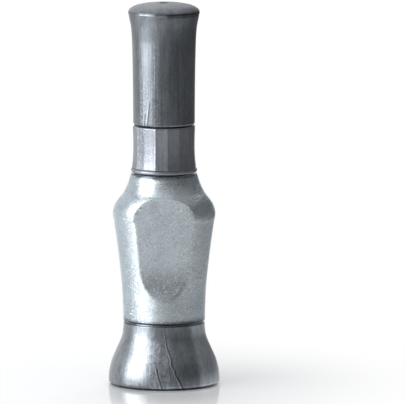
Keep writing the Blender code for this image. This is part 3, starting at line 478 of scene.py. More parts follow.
class Wiring:
    """The node tree of a material, of the world or of a lamp, built up in plain steps."""

    def __init__(self, owner, shader="Principled BSDF"):
        owner.use_nodes = True
        self.tree = owner.node_tree
        self.shader = self.tree.nodes[shader]

    def node(self, kind, inputs=None, **settings):
        """Adds a node, sets its properties and its inputs, and returns its outputs."""
        item = self.tree.nodes.new(kind)
        for key, value in settings.items():
            setattr(item, key, value)
        for key, value in (inputs or {}).items():
            self.put(item.inputs[key], value)
        return item.outputs

    def put(self, socket, value):
        """Sets a socket to a value, or links it to another socket."""
        if isinstance(value, bpy.types.NodeSocket):
            self.tree.links.new(value, socket)
        else:
            socket.default_value = value

    def set(self, **values):
        """Sets the shader's own sockets, whose names have spaces for underscores."""
        for key, value in values.items():
            self.put(self.shader.inputs[key.replace("_", " ")], value)

    def maths(self, operation, a, b=0.0):
        """One Math node."""
        return self.node("ShaderNodeMath", {0: a, 1: b}, operation=operation)[0]

    def times(self, a, b):
        """The product of two values."""
        return self.maths('MULTIPLY', a, b)

    def spread(self, value, low, high, to_low=0.0, to_high=1.0, form='SMOOTHSTEP'):
        """Carries a value from one range into another, smoothly unless another form is given."""
        return self.node("ShaderNodeMapRange", {
            "Value": value, "From Min": low, "From Max": high, "To Min": to_low,
            "To Max": to_high}, interpolation_type=form)[0]

    def fall(self, value, low, high):
        """1 below a range, and smoothly down to 0 over it."""
        return self.spread(value, low, high, 1.0, 0.0)

    def window(self, value, rise, fall):
        """Smoothly up from 0 to 1 over one range, and down to 0 again over another."""
        return self.times(self.spread(value, *rise), self.fall(value, *fall))

    def places(self, along=1.0):
        """Object coordinates, scaled along the pen's axis."""
        places = self.node("ShaderNodeTexCoord")["Object"]
        if along == 1.0:
            return places
        return self.node("ShaderNodeMapping", {"Vector": places, "Scale": (1.0, 1.0, along)})[0]

    def noise(self, scale, along=1.0, detail=3.0, roughness=0.55, distortion=0.0, places=None):
        """A Noise texture's value. It is drawn out where the scale along the axis is below 1."""
        return self.node("ShaderNodeTexNoise", {
            "Vector": places or self.places(along), "Scale": scale, "Detail": detail,
            "Roughness": roughness, "Distortion": distortion})["Fac"]

    def mix(self, share, a, b):
        """Mixes two numbers."""
        return self.node("ShaderNodeMix", {0: share, 2: a, 3: b})[0]

    def blend(self, share, a, b):
        """Mixes two colours."""
        return self.node("ShaderNodeMix", {0: share, 6: a, 7: b}, data_type='RGBA')[2]

    def tones(self, share, colour, low, high):
        """Mixes two tones of one colour, each given by its gain."""
        return self.blend(share, rgba(colour, low), rgba(colour, high))

    def vector(self, operation, a, b, output="Vector"):
        """One Vector Math node."""
        second = "Scale" if operation == 'SCALE' else 1
        return self.node("ShaderNodeVectorMath", {0: a, second: b}, operation=operation)[output]

    def gained(self, shade, share, gain):
        """Scales a colour by a gain, as far as the share goes."""
        return self.vector('SCALE', shade, self.spread(share, 0.0, 1.0, 1.0, gain))

    def away_from(self, place=(0.0, 0.0, 0.0)):
        """Distance from the upright line through a place, which is the pen's axis if none is given."""
        flat = self.vector('MULTIPLY', self.places(), (1.0, 1.0, 0.0))
        return self.vector('DISTANCE', flat, place, "Value")

    def bump(self, **inputs):
        """A Bump node on the shader's normal."""
        self.set(Normal=self.node("ShaderNodeBump", inputs)[0])

    def flakes(self, size, tilt):
        """Cells of one size as flat flakes: their random colours, and the surface's normal tilted
        by each cell's colour less one half, times the tilt. One flake in a few tilts far more."""
        cells = {"Vector": self.places(), "Scale": 1 / size}
        colour = self.node("ShaderNodeTexVoronoi", cells)["Color"]
        parts = self.node("ShaderNodeSeparateColor", {0: colour})
        aside = self.vector('SCALE', self.vector('SUBTRACT', colour, (0.5, 0.5, 0.5)),
                            self.times(tilt, self.spread(parts[2], *FLAKE_TILTS)))
        normal = self.node("ShaderNodeNewGeometry")["Normal"]
        return parts, self.vector('NORMALIZE', self.vector('ADD', normal, aside), (0.0, 0.0, 0.0))

    def round_the_axis(self, vector=None):
        """Angle round the pen from its front towards +X, and level, as sockets."""
        x, y, level = self.node("ShaderNodeSeparateXYZ", {0: vector or self.places()})
        return self.maths('ARCTAN2', x, self.times(y, -1.0)), level

    def room(self, direction):
        """Level of the room's light all round, as reflections and clear plastic show it."""
        angle = self.round_the_axis(direction)[0]
        item = self.tree.nodes.new("ShaderNodeValToRGB")
        self.put(item.inputs[0], self.maths('ADD', self.maths('DIVIDE', angle, math.tau), 0.5))
        item.color_ramp.interpolation = 'EASE'
        stops = item.color_ramp.elements
        for place, (azimuth, level) in enumerate(ROOM_LEVELS):
            stop = stops[place] if place < 2 else stops.new(1.0)
            stop.position = azimuth / 360 + 0.5
            stop.color = (level, level, level, 1.0)
        return item.outputs["Color"]

    def rays(self):
        """Whether a ray comes from the camera, and whether it was mirrored or went through."""
        path = self.node("ShaderNodeLightPath")
        return path["Is Camera Ray"], self.maths('MAXIMUM', path["Is Glossy Ray"],
                                                 path["Is Transmission Ray"])


def rgba(colour, gain=1.0):
    """A colour with its alpha, made lighter or darker."""
    return (*(min(part * gain, 1.0) for part in colour), 1.0)


def radians(*degrees):
    """Angles in radians."""
    return tuple(math.radians(angle) for angle in degrees)


# Flake plastic. Noise patterns: scale, how it is scaled along the axis, detail, roughness and
# distortion. Then how they are mixed, and the range of the mixture that the tones follow
FLOW = (620.0, 0.05, 4.0, 0.65, 0.4)
FLOW_LINES = (2400.0, 0.012, 2.0, 0.5)
CLOUD = (150.0, 0.45, 4.0, 0.6, 1.6)
SWIRLS = (900.0, 0.6, 4.0, 0.6, 2.5)
LINE_SHARE = 0.5
CLOUD_SHARE = 0.4
TONE_RANGE = (0.36, 0.64)
# Width of its flakes, the range of a flake's random number with its tilt or brightness at either
# end, and how much lighter the brightest are
FLAKE_WIDTH = 0.00017
FLAKE_TILTS = (0.5, 1.0, 0.35, 2.0)
BRIGHT_FLAKES = (0.80, 1.0, 0.0, 0.5)
BRIGHT_GAIN = 1.7
# Change from base to cap, which is darker and duller. Its flare is darker and duller still, and its
# dome is lighter
CAP_LEVELS = (0.055, 0.060)
CAP_GAIN, CAP_DULLNESS = 0.66, 0.05
FLARE_LEVELS = (0.0893, 0.0912)
FLARE_GAIN, FLARE_DULLNESS = 0.95, 0.10
DOME_LEVELS = (0.0978, 0.0981)
DOME_GAIN = 1.2
# Shade in the dimple on the dome
PIT_LEVELS = (0.0975, 0.0985)
PIT_RADII = (0.0011, 0.0015)
PIT_SHARE, PIT_GAIN = 0.75, 0.1
# Edge of the cap's head: a glint on its left, and shade on its right
RIM_LEVELS = ((0.0966, 0.0972), (0.0978, 0.0981))
GLINT_LEVELS = (0.0973, 0.0976)
GLINT_SIDE = (radians(-50, -38), radians(-24, -6))
GLINT_GAIN = 2.8
RIM_SIDE = radians(-2, 12)
RIM_GAIN = 0.4
# Painted light: where the base is made paler on its right side, and how much. Then where it is
# cloudy, with the range of the cloud's noise and the gain at either end
PAINTED_LIGHT_SIDE = (radians(34, 50), radians(120, 150))
PAINTED_LIGHT_GAIN = 1.9
CLOUD_SIDE = (radians(-24, -10), radians(4, 14))
CLOUD_LEVELS = (0.011, 0.016)
CLOUD_GAINS = (0.3, 0.7, 0.9, 1.9)
# Weld lines: low and high level, the angle at each in degrees, sway and width in radians, and the
# strength of the light line
WELDS = (
    (0.0670, 0.0752, (-33, -26), 0.03, 0.045, 0.2),
    (0.0670, 0.0720, (-40, -37), 0.03, 0.026, 0.2),
    (-0.0010, 0.0042, (23, 13), 0.05, 0.030, 0.7),
    (0.0030, 0.0150, (14, 1), 0.12, 0.026, 0.9),
    (-0.0010, 0.0062, (0, -8), 0.05, 0.026, 0.7),
    (0.0010, 0.0110, (8, 4), 0.10, 0.014, 0.7),
)
# The noise of their sway, the share of the length over which they fade at each end, the place and
# width of the light line in widths of the dark one, the dark one's strength and depth, and the
# gains of the dark and the light colour
WAVER_SCALE = 420.0
WELD_END_SHARE = 0.15
BESIDE_SHARE, BESIDE_WIDTH_SHARE = 1.3, 0.6
WELD_STRENGTH, WELD_DEPTH = 0.85, 0.6
WELD_GAINS = (0.2, 2.8)
# Noise patterns of the other finishes, with the same values as those of the flake plastic
POLISH_CLOUD = (240.0, 1.0, 3.0, 0.5, 0.4)
CLEAR_SKIN = (700.0, 1.0, 2.0, 0.4)
SOFT_CLOUD = (500.0, 0.3, 3.0, 0.5)
SOFT_SKIN = (6000.0, 1.0, 2.0)
DRAWN_LINES = (9000.0, 0.04, 3.0, 0.6)
GROUND_GRAIN = (9000.0, 1.0, 3.0, 0.6)
DISC_GRAIN = (2600.0,)
HAIR_TRACE = (3800.0, 0.12)
# Ranges of their values that count, and the gains of each finish's darker and lighter tone
CLOUD_RANGE, FINE_RANGE, GRAIN_RANGE = (0.35, 0.65), (0.2, 0.8), (0.3, 0.7)
POLISH_TONES, METAL_TONES = (0.96, 1.04), (0.85, 1.12)
DISC_TONES, HAIR_TONES = (0.7, 1.4), (0.75, 1.3)
# Disc: turn of the rings' sine in a metre, and their share of its relief
RING_TURN, RING_SHARE = 9000.0, 0.2
# Polish: the tilt of its flakes, and which of them are bright and how far they go to white
POLISH_TILT = 0.24
POLISH_SPARKS = (0.90, 1.0, 0.0, 0.7)
# Clear plastic: how far it is seen edge on where its colour changes, and its colour there. Then the
# dark colour painted in the seams at either end of the body, which is painted shade, and its levels
EDGE_RANGE = (0.2, 0.85)
CLEAR_EDGE = (0.70, 0.88, 1.0, 1.0)
PAINTED_SEAM_SHADE = (0.010, 0.018, 0.032, 1.0)
LOW_SEAM_SHADE = (0.01705, 0.01720)
HIGH_SEAM_SHADE = (0.05510, 0.05525)
OVER_SEAM_SHADE = (0.0562, 0.0564, 0.8, 0.0)


def weld_line(wiring, angle, level, low, high, ends, sway, width):
    """A wavering line where two streams of plastic met, as a dark line and a light one beside it.
    Its angle goes evenly from the first end's at its low level to the second end's at its high
    level, plus a sway that a noise along the level gives. Both fade over its width and towards its
    ends."""
    first, last = radians(*ends)
    along = wiring.node("ShaderNodeCombineXYZ", {"X": first, "Z": level})[0]
    waver = wiring.maths('SUBTRACT', wiring.noise(WAVER_SCALE, detail=2.0, places=along), 0.5)
    middle = wiring.maths('ADD', wiring.spread(level, low, high, first, last, 'LINEAR'),
                          wiring.times(waver, sway))
    away = wiring.maths('SUBTRACT', angle, middle)
    fade = (high - low) * WELD_END_SHARE
    inside = wiring.window(level, (low, low + fade), (high - fade, high))
    lines = []
    for side, reach in ((0.0, width), (-BESIDE_SHARE * width, BESIDE_WIDTH_SHARE * width)):
        beside = wiring.maths('ABSOLUTE', wiring.maths('SUBTRACT', away, side))
        lines.append(wiring.times(wiring.fall(beside, 0.0, reach), inside))
    return lines


def flake_plastic(wiring, colour, roughness, streak_share, tilts, ripples, dress=None):
    """Moulded plastic full of metal flake: fine grain and long flow streaks, which also ripple the
    skin a little. The tilt of its flakes and the height of its ripples have one value on the base
    and another above it. A dress adds what only some pieces of the colour show."""
    level = wiring.round_the_axis()[1]
    tilt, ripple = (wiring.spread(level, *CAP_LEVELS, *pair) for pair in (tilts, ripples))
    parts, normal = wiring.flakes(FLAKE_WIDTH, tilt)
    streaks = wiring.mix(LINE_SHARE, wiring.noise(*FLOW), wiring.noise(*FLOW_LINES))
    tone = wiring.mix(CLOUD_SHARE, streaks, wiring.noise(*CLOUD))
    shade = wiring.tones(wiring.spread(tone, *TONE_RANGE), colour, 1 - streak_share, 1 + streak_share)
    shade = wiring.blend(wiring.spread(parts[0], *BRIGHT_FLAKES), shade, rgba(colour, BRIGHT_GAIN))
    rough = wiring.spread(parts[1], 0.0, 1.0, *roughness)
    relief = wiring.times(streaks, ripple)
    if dress:
        shade, rough, relief = dress(wiring, colour, shade, rough, relief)
    wiring.set(Base_Color=shade, Metallic=0.95, Coat_Weight=0.15, Coat_Roughness=0.12,
               Roughness=rough)
    wiring.bump(Height=relief, Strength=0.8, Distance=0.00008, Normal=normal)


def pewter_dress(wiring, colour, shade, rough, relief):
    """The cap is darker and duller than the base, with a lighter dome, shade in its dimple, and a
    glint and shade at the edge of its head. The base has painted light that makes its right side
    paler, it is cloudy on the left of its main weld line, and both have their weld lines."""
    angle, level = wiring.round_the_axis()
    above = wiring.spread(level, *CAP_LEVELS)
    gain = wiring.spread(level, *DOME_LEVELS, CAP_GAIN, DOME_GAIN)
    shade = wiring.blend(above, shade, wiring.vector('SCALE', shade, gain))
    flare = wiring.spread(level, *FLARE_LEVELS)
    shade = wiring.gained(shade, flare, FLARE_GAIN)
    for share, dullness in ((above, CAP_DULLNESS), (flare, FLARE_DULLNESS)):
        rough = wiring.maths('ADD', rough, wiring.times(share, dullness))
    pit = wiring.times(wiring.spread(level, *PIT_LEVELS), wiring.fall(wiring.away_from(), *PIT_RADII))
    shade = wiring.blend(wiring.times(pit, PIT_SHARE), shade, rgba(colour, PIT_GAIN))
    rim = wiring.window(level, *RIM_LEVELS)
    glint = wiring.times(wiring.window(angle, *GLINT_SIDE), wiring.spread(level, *GLINT_LEVELS))
    shade = wiring.gained(shade, wiring.times(glint, rim), GLINT_GAIN)
    shade = wiring.gained(shade, wiring.times(rim, wiring.spread(angle, *RIM_SIDE)), RIM_GAIN)
    # Painted light: the base's right side is made paler
    below = wiring.maths('SUBTRACT', 1.0, above)
    shade = wiring.gained(shade, wiring.times(wiring.window(angle, *PAINTED_LIGHT_SIDE), below), PAINTED_LIGHT_GAIN)
    side = wiring.times(wiring.window(angle, *CLOUD_SIDE), wiring.fall(level, *CLOUD_LEVELS))
    cloudy = wiring.spread(wiring.noise(*SWIRLS), *CLOUD_GAINS)
    shade = wiring.blend(side, shade, wiring.vector('SCALE', shade, cloudy))
    for *weld, strength in WELDS:
        dark, light = weld_line(wiring, angle, level, *weld)
        for share, gain in zip((wiring.times(dark, WELD_STRENGTH), wiring.times(light, strength)),
                               WELD_GAINS):
            shade = wiring.blend(share, shade, rgba(colour, gain))
        relief = wiring.maths('SUBTRACT', relief, wiring.times(dark, WELD_DEPTH))
    return shade, rough, relief


def shimmer_polish(wiring, colour, roughness):
    """Pearly lacquer: flat flakes of unlike tilt and tone in a pale silver body."""
    parts, normal = wiring.flakes(sizes().flake_size, POLISH_TILT)
    cloud = wiring.spread(wiring.noise(*POLISH_CLOUD), *CLOUD_RANGE)
    shade = wiring.blend(wiring.spread(parts[0], *POLISH_SPARKS),
                         wiring.tones(cloud, colour, *POLISH_TONES), WHITE)
    wiring.set(Base_Color=shade, Metallic=0.85, Normal=normal,
               Roughness=wiring.spread(parts[1], 0.0, 1.0, *roughness))


def clear_plastic(wiring, colour, roughness):
    """Clear moulded plastic, bluer where it is seen edge on, with a skin that is very slightly
    uneven. It has painted shade: it is made dark where it stands in the seams under and over the
    bottle's body, where there is only shade."""
    level = wiring.round_the_axis()[1]
    # Painted shade: the clear plastic is made dark in the seams at both ends of the body
    over = wiring.times(wiring.spread(level, *HIGH_SEAM_SHADE), wiring.spread(level, *OVER_SEAM_SHADE))
    seams = wiring.maths('MAXIMUM', wiring.fall(level, *LOW_SEAM_SHADE), over)
    facing = wiring.node("ShaderNodeLayerWeight", {"Blend": 0.5})["Facing"]
    wall = wiring.blend(wiring.spread(facing, *EDGE_RANGE), rgba(colour), CLEAR_EDGE)
    wiring.set(Base_Color=wiring.blend(seams, wall, PAINTED_SEAM_SHADE), Transmission_Weight=1.0, IOR=1.47,
               Roughness=roughness)
    wiring.bump(Height=wiring.noise(*CLEAR_SKIN), Strength=0.04, Distance=0.00002)


def soft_plastic(wiring, colour, roughness, glow=0.25, mottle=0.04):
    """Natural plastic that lets some light in, faintly cloudy, with a fine moulded skin."""
    skin = wiring.noise(*SOFT_SKIN)
    wiring.set(Base_Color=wiring.tones(wiring.noise(*SOFT_CLOUD), colour, 1 - mottle, 1 + mottle),
               Roughness=wiring.spread(skin, *FINE_RANGE, *roughness),
               Subsurface_Weight=glow, Subsurface_Scale=0.0012)
    wiring.bump(Height=skin, Strength=0.12, Distance=0.00001)


def fine_metal(wiring, colour, roughness, pattern):
    """Metal with a fine pattern: drawing lines along the axis, or the even grain of grinding."""
    grain = wiring.noise(*pattern)
    wiring.set(Base_Color=wiring.tones(grain, colour, *METAL_TONES), Metallic=1.0,
               Roughness=wiring.spread(grain, *FINE_RANGE, *roughness))
    wiring.bump(Height=grain, Strength=0.15, Distance=0.000006)


def pressed_disc(wiring, colour, roughness):
    """Dark moulded disc with faint rings round its middle: the sine of the distance from it."""
    rings = wiring.maths('SINE', wiring.times(wiring.away_from(), RING_TURN))
    grain = wiring.noise(*DISC_GRAIN)
    wiring.set(Base_Color=wiring.tones(grain, colour, *DISC_TONES),
               Roughness=wiring.spread(grain, *GRAIN_RANGE, *roughness))
    wiring.bump(Height=wiring.maths('ADD', wiring.times(rings, RING_SHARE), grain), Strength=0.2,
                Distance=0.00002)


def nylon_hair(wiring, colour, roughness):
    """Pale nylon hair, with traces of polish drawn along it."""
    trace = wiring.noise(*HAIR_TRACE)
    wiring.set(Base_Color=wiring.tones(trace, colour, *HAIR_TONES), Metallic=0.2,
               Roughness=wiring.spread(trace, *GRAIN_RANGE, *roughness))


# The finish of each slot: what makes it, the name of its colour, its roughness, which has a low and
# a high value where a pattern changes it, and its other values
FINISHES = {
    "pewter_plastic": (flake_plastic, "pewter", (0.28, 0.38), dict(
        streak_share=0.24, tilts=(0.10, 0.17), ripples=(0.7, 1.7), dress=pewter_dress)),
    "silver_plastic": (flake_plastic, "silver", (0.36, 0.46), dict(
        streak_share=0.15, tilts=(0.14, 0.14), ripples=(1.0, 1.0))),
    "shimmer_polish": (shimmer_polish, "shimmer", (0.24, 0.38), {}),
    "clear_plastic": (clear_plastic, "clear", 0.04, {}),
    "natural_plastic": (soft_plastic, "natural", (0.30, 0.42), dict(glow=0.4)),
    "white_plastic": (soft_plastic, "milky", (0.36, 0.48), {}),
    "seal_foam": (soft_plastic, "foam", (0.74, 0.86), dict(glow=0.0, mottle=0.1)),
    "plug_rubber": (soft_plastic, "rubber", (0.64, 0.76), dict(glow=0.0, mottle=0.08)),
    "dark_disc": (pressed_disc, "disc", (0.5, 0.66), {}),
    "needle_steel": (fine_metal, "steel", (0.19, 0.32), dict(pattern=DRAWN_LINES)),
    "ball_steel": (fine_metal, "steel", (0.11, 0.24), dict(pattern=GROUND_GRAIN)),
    "anchor_brass": (fine_metal, "brass", (0.25, 0.38), dict(pattern=GROUND_GRAIN)),
    "bristle_nylon": (nylon_hair, "hair", (0.35, 0.55), {}),
}
MADE = {}


def material_of(slot):
    """The finish of a slot, made the first time that a piece asks for it."""
    if slot not in MADE:
        make, colour, roughness, values = FINISHES[slot]
        MADE[slot] = bpy.data.materials.new(slot + "_finish")
        make(Wiring(MADE[slot]), getattr(colours(), colour), roughness, **values)
    return MADE[slot]


# Shapes of the bottle
def panel_reach(level, depth):
    """Distance of the flat panel from the axis at a level, moved in by a depth. Above the touching
    level it is a plane that leans out as it rises, and below it an arc that sweeps outwards."""
    outline = section_of("bottle")[0]
    shoulder_radius = outline[:, 0].max()
    shoulder_level = outline[outline[:, 0].argmax(), 1]
    sweep = PANEL_SWEEP_RADIUS + depth
    middle_out = (shoulder_radius - PANEL_DEPTH - PANEL_DROP * math.tan(PANEL_LEAN)
                  + PANEL_SWEEP_RADIUS * math.cos(PANEL_LEAN))
    middle_level = shoulder_level - PANEL_DROP - PANEL_SWEEP_RADIUS * math.sin(PANEL_LEAN)
    touch_out = middle_out - sweep * math.cos(PANEL_LEAN)
    touch_level = middle_level + sweep * math.sin(PANEL_LEAN)
    plane = touch_out + (level - touch_level) * math.tan(PANEL_LEAN)
    arc = middle_out - np.sqrt(np.maximum(sweep ** 2 - (level - middle_level) ** 2, 0))
    return np.where(level > touch_level, plane, arc)


def panel_wall(level):
    """Thickness of the clear wall behind the panel, which is thinner towards the panel's foot."""
    return BOTTLE_WALL + WALL_CHANGE * (2 * ramp(level, *PANEL_FOOT) - 1)


def panelled(radius, level, angle, depth, low, high):
    """Radius of the bottle's side: the smaller of its round radius and the panel's reach over the
    sine of the angle, with a soft crease, between two levels."""
    flat = panel_reach(level, depth) / np.maximum(np.abs(np.sin(angle)), LEAST_SINE)
    cut = soft_least(radius, flat, sizes().panel_edge)
    return np.where((level > low) & (level < high), cut, radius)


def body_levels():
    """Levels of the base's top and of the collar's foot, between which the bottle's body shows."""
    return (section_of("base_shell")[0][:, 1].max(),
            section_of("collar", FACET_PHASE)[0][:, 1].min())


def thin_ledges(level, low, high):
    """Levels of the cavity drawn out towards the ends of the body, so that little clear plastic is
    left there: each end moves out by the ledge less its skin, and the pull fades on both sides."""
    pull, fade = LEDGE_THICKNESS - LEDGE_SKIN, 3 * LEDGE_THICKNESS
    floor, roof = low + FIT_GAP + LEDGE_THICKNESS, high - 2 * FIT_GAP - LEDGE_THICKNESS
    near_roof, near_floor = (ramp(level, end - fade, end) * (1 - ramp(level, end, end + fade))
                             for end in (roof, floor))
    return level + pull * (near_roof - near_floor)


def thread(level, angle, start, height, width):
    """Height of a thread at a place on a cylinder: a ridge along the helix that starts at a level and
    rises by the pitch in a turn. It falls off with the distance from the helix and runs out smoothly
    at both ends."""
    pitch, turns = sizes().thread_pitch, sizes().thread_turns
    lap = np.round((level - start) / pitch - angle / math.tau)
    along = angle / math.tau + lap
    away = np.abs(level - start - pitch * along) / (width / 2)
    run_out = ramp(along, 0, RUN_OUT_TURN) * (1 - ramp(along, turns - RUN_OUT_TURN, turns))
    return height * (1 - ramp(away, THREAD_CREST_SHARE, 1.0)) * run_out


class PEN_OT_base(bpy.types.Operator):
    """Makes the flared base and the disc that closes it"""
    bl_idname = "pen.base"
    bl_label = "Base"

    def execute(self, context):
        redraw("base_bell", "base_shell", "bottle", "pewter_plastic", ROUND,
               steps=FINE_CURVE_STEPS)
        redraw("closing_disc", "base_disc", "bottle", "dark_disc", ROUND)
        return {'FINISHED'}


class PEN_OT_bottle(bpy.types.Operator):
    """Makes the clear bottle with its two panels and its thread, and what it holds"""
    bl_idname = "pen.bottle"
    bl_label = "Bottle"

    def execute(self, context):
        self.make_bottle()
        self.make_polish()
        self.make_balls()
        redraw("soft_wiper", "neck_wiper", "bottle", "white_plastic")
        return {'FINISHED'}

    def make_bottle(self):
        """Outer and inner skin in one surface: panels on both, and the thread on the neck."""
        outline, line = fine_line("bottle", BOTTLE_PART)
        low, throat = body_levels()
        neck = outline[outline[:, 1] > throat, 0]
        rim = outline[:, 1].max()
        start = rim - sizes().thread_pitch * sizes().thread_turns - sizes().thread_width
        inside = np.arange(len(line)) > np.flatnonzero(line[:, 1] > rim - NEAR).max()
        line[inside, 1] = thin_ledges(line[inside, 1], low, throat)

        def shape(radius, level, angle):
            outer = panelled(radius, level, angle, 0.0, low, throat)
            inner = panelled(radius, level, angle, panel_wall(level), low, throat)
            side = np.where(inside[1:-1, None], inner, outer)
            on_neck = (level > throat) & (radius > (neck.max() + neck.min()) / 2)
            ridge = thread(level, angle, start, sizes().thread_height, sizes().thread_width)
            return side + np.where(on_neck, ridge, 0.0)

        piece = turned("clear_bottle", line, around(ROUND), shape)
        finished(piece, "bottle", "clear_plastic", "bottle")

    def make_polish(self):
        """The fill: its skin wets the wall, and the well round the stem stays as it is."""
        outline, closed = section_of("polish")
        grown = moved_out(outline, FIT_GAP + sizes().wet_depth)
        outline = np.where(outline[:, :1] < POOL_RADIUS, outline, grown)
        line = refined(drawn(outline, closed, sizes().moulded_edge), BOTTLE_PART, closed)
        low, throat = body_levels()
        wetted = line[:, 0] > POOL_RADIUS
        line[wetted, 1] = thin_ledges(line[wetted, 1], low, throat)

        def shape(radius, level, angle):
            depth = panel_wall(level) - sizes().wet_depth
            side = panelled(radius, level, angle, depth, low, throat)
            return np.where(radius > POOL_RADIUS, side, radius)

        piece = turned("polish_fill", line, around(ROUND), shape)
        finished(piece, "bottle", "shimmer_polish", "polish")

    def make_balls(self):
        """Two spheres: a half circle turned round an upright line through each ball's middle."""
        for name, node in (("ball_left", "mixing_ball_left"), ("ball_right", "mixing_ball_right")):
            low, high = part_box(node)
            radius = (high.z - low.z) / 2
            tilt = np.linspace(-math.pi / 2, math.pi / 2, FINE_ROUND // 2)
            half_circle = np.stack((radius * np.cos(tilt), low.z + radius * (1 + np.sin(tilt))), -1)
            half_circle[[0, -1], 0] = 0.0
            middle = ((low.x + high.x) / 2, (low.y + high.y) / 2)
            ball = turned(name, half_circle, around(FINE_ROUND), middle=middle)
            finished(ball, "bottle", "ball_steel", node)


class PEN_OT_collar(bpy.types.Operator):
    """Makes the faceted collar, the threaded cup inside it and the gasket on the neck"""
    bl_idname = "pen.collar"
    bl_label = "Collar"

    def execute(self, context):
        self.make_collar()
        self.make_cup()
        redraw("gasket", "neck_seal", "seal", "seal_foam")
        return {'FINISHED'}

    def make_collar(self):
        """Flat facets: the radius is the flat's distance over the cosine of the angle from its
        middle, the smaller of two neighbours with a soft edge. The bead and the bore stay round.
        The angles crowd towards the edges between the facets."""
        outline, line = fine_line("collar", COLLAR_PART, FACET_PHASE)
        foot = outline[:, 1].min()
        bore = outline[outline[:, 1] < foot + BEAD_HEIGHT / 2, 0].min()
        half = math.pi / FACET_COUNT
        step = np.arange(FACET_STEPS) / FACET_STEPS
        share = step - FACET_CROWDING * np.sin(math.tau * step) / math.tau
        facet = np.arange(FACET_COUNT)[:, None]
        angles = FACET_PHASE + 2 * half * (facet + share[None, :]).ravel()

        def shape(radius, level, angle):
            aside = (angle - FACET_PHASE) % (2 * half) - half
            flat = radius * math.cos(half)
            near = soft_least(flat / np.cos(aside), flat / np.cos(2 * half - np.abs(aside)),
                              sizes().facet_edge)
            outer = radius > bore + FIT_GAP
            faceted = outer & (level > foot + BEAD_HEIGHT - BEAD_MARGIN)
            above = np.abs(level - foot - BEAD_HEIGHT) / BEAD_GROOVE
            groove = BEAD_GROOVE * (1 - ramp(above, 0.0, 1.0))
            return np.where(faceted, near, radius) - np.where(outer, groove, 0.0)

        piece = turned("facet_collar", line, angles, shape)
        finished(piece, "applicator", "silver_plastic", "collar")

    def make_cup(self):
        """The cup that screws onto the neck, with a thread inside it."""
        outline, line = fine_line("inner_cap", CUP_PART)
        foot, top = outline[:, 1].min(), outline[:, 1].max()
        bore = outline[np.isclose(outline[:, 1], foot), 0].min()
        ceiling = outline[(outline[:, 1] < top - NEAR) & (outline[:, 0] < bore), 1].max()
        width = sizes().thread_width / 2
        start = ceiling - sizes().thread_pitch * (sizes().thread_turns + CUP_THREAD_MORE)

        def shape(radius, level, angle):
            wall = np.isclose(radius, bore, atol=NEAR) & (level < ceiling)
            return radius - np.where(wall, thread(level, angle, start, CUP_THREAD_HEIGHT, width), 0.0)

        piece = turned("threaded_cup", line, around(SMALL_ROUND), shape)
        finished(piece, "applicator", "white_plastic", "inner_cap")


class PEN_OT_nozzle(bpy.types.Operator):
    """Makes the ribbed nozzle and its steel needle"""
    bl_idname = "pen.nozzle"
    bl_label = "Nozzle"

    def execute(self, context):
        self.make_nozzle()
        redraw("needle_tube", "needle", "applicator", "needle_steel", FINE_ROUND, NEEDLE_EDGE)
        return {'FINISHED'}

    def make_nozzle(self):
        """The ribbed band is the larger of its core and of round bars: at an angle a from a bar's
        middle, the radius is c cos a + sqrt(p p - c c sin a sin a), where c is the distance of the
        bar's middle from the axis and p its radius, which closes into a dome at the top."""
        pitch = math.tau / RIB_COUNT
        outline, line = fine_line("nozzle", NOZZLE_PART, 1.5 * pitch)
        crest = section_of("nozzle")[0]
        rim_radius = outline[:, 0].max()
        rim_top = outline[outline[:, 0] > rim_radius - NEAR, 1].max() + RIM_LIP_HEIGHT
        ribs_top = rim_top + RIB_LENGTH
        crest_radius = crest[crest[:, 1] > rim_top + NEAR, 0].max()
        bore = outline[(outline[:, 1] < rim_top) & (outline[:, 0] < rim_radius / 2), 0].max()

        def shape(radius, level, angle):
            above = np.clip((level - ribs_top + RIB_RADIUS) / RIB_RADIUS, 0, 1)
            bar = RIB_RADIUS * np.sqrt(1 - above ** 2)
            middle = crest_radius - RIB_RADIUS - RIB_LEAN * (level - rim_top) / RIB_LENGTH
            aside = (angle + pitch / 2) % pitch - pitch / 2
            under = bar ** 2 - (middle * np.sin(aside)) ** 2
            rib = middle * np.cos(aside) + np.sqrt(np.maximum(under, 0))
            rib = np.where(under > 0, rib, 0.0)
            outer = (radius > bore + RIB_MARGIN) & (level > rim_top) & (level < ribs_top)
            return np.where(outer, soft_most(radius, rib, RIB_EDGE), radius)

        piece = turned("pen_nozzle", line, around(RIB_COUNT * RIB_STEPS), shape)
        finished(piece, "applicator", "silver_plastic", "nozzle")


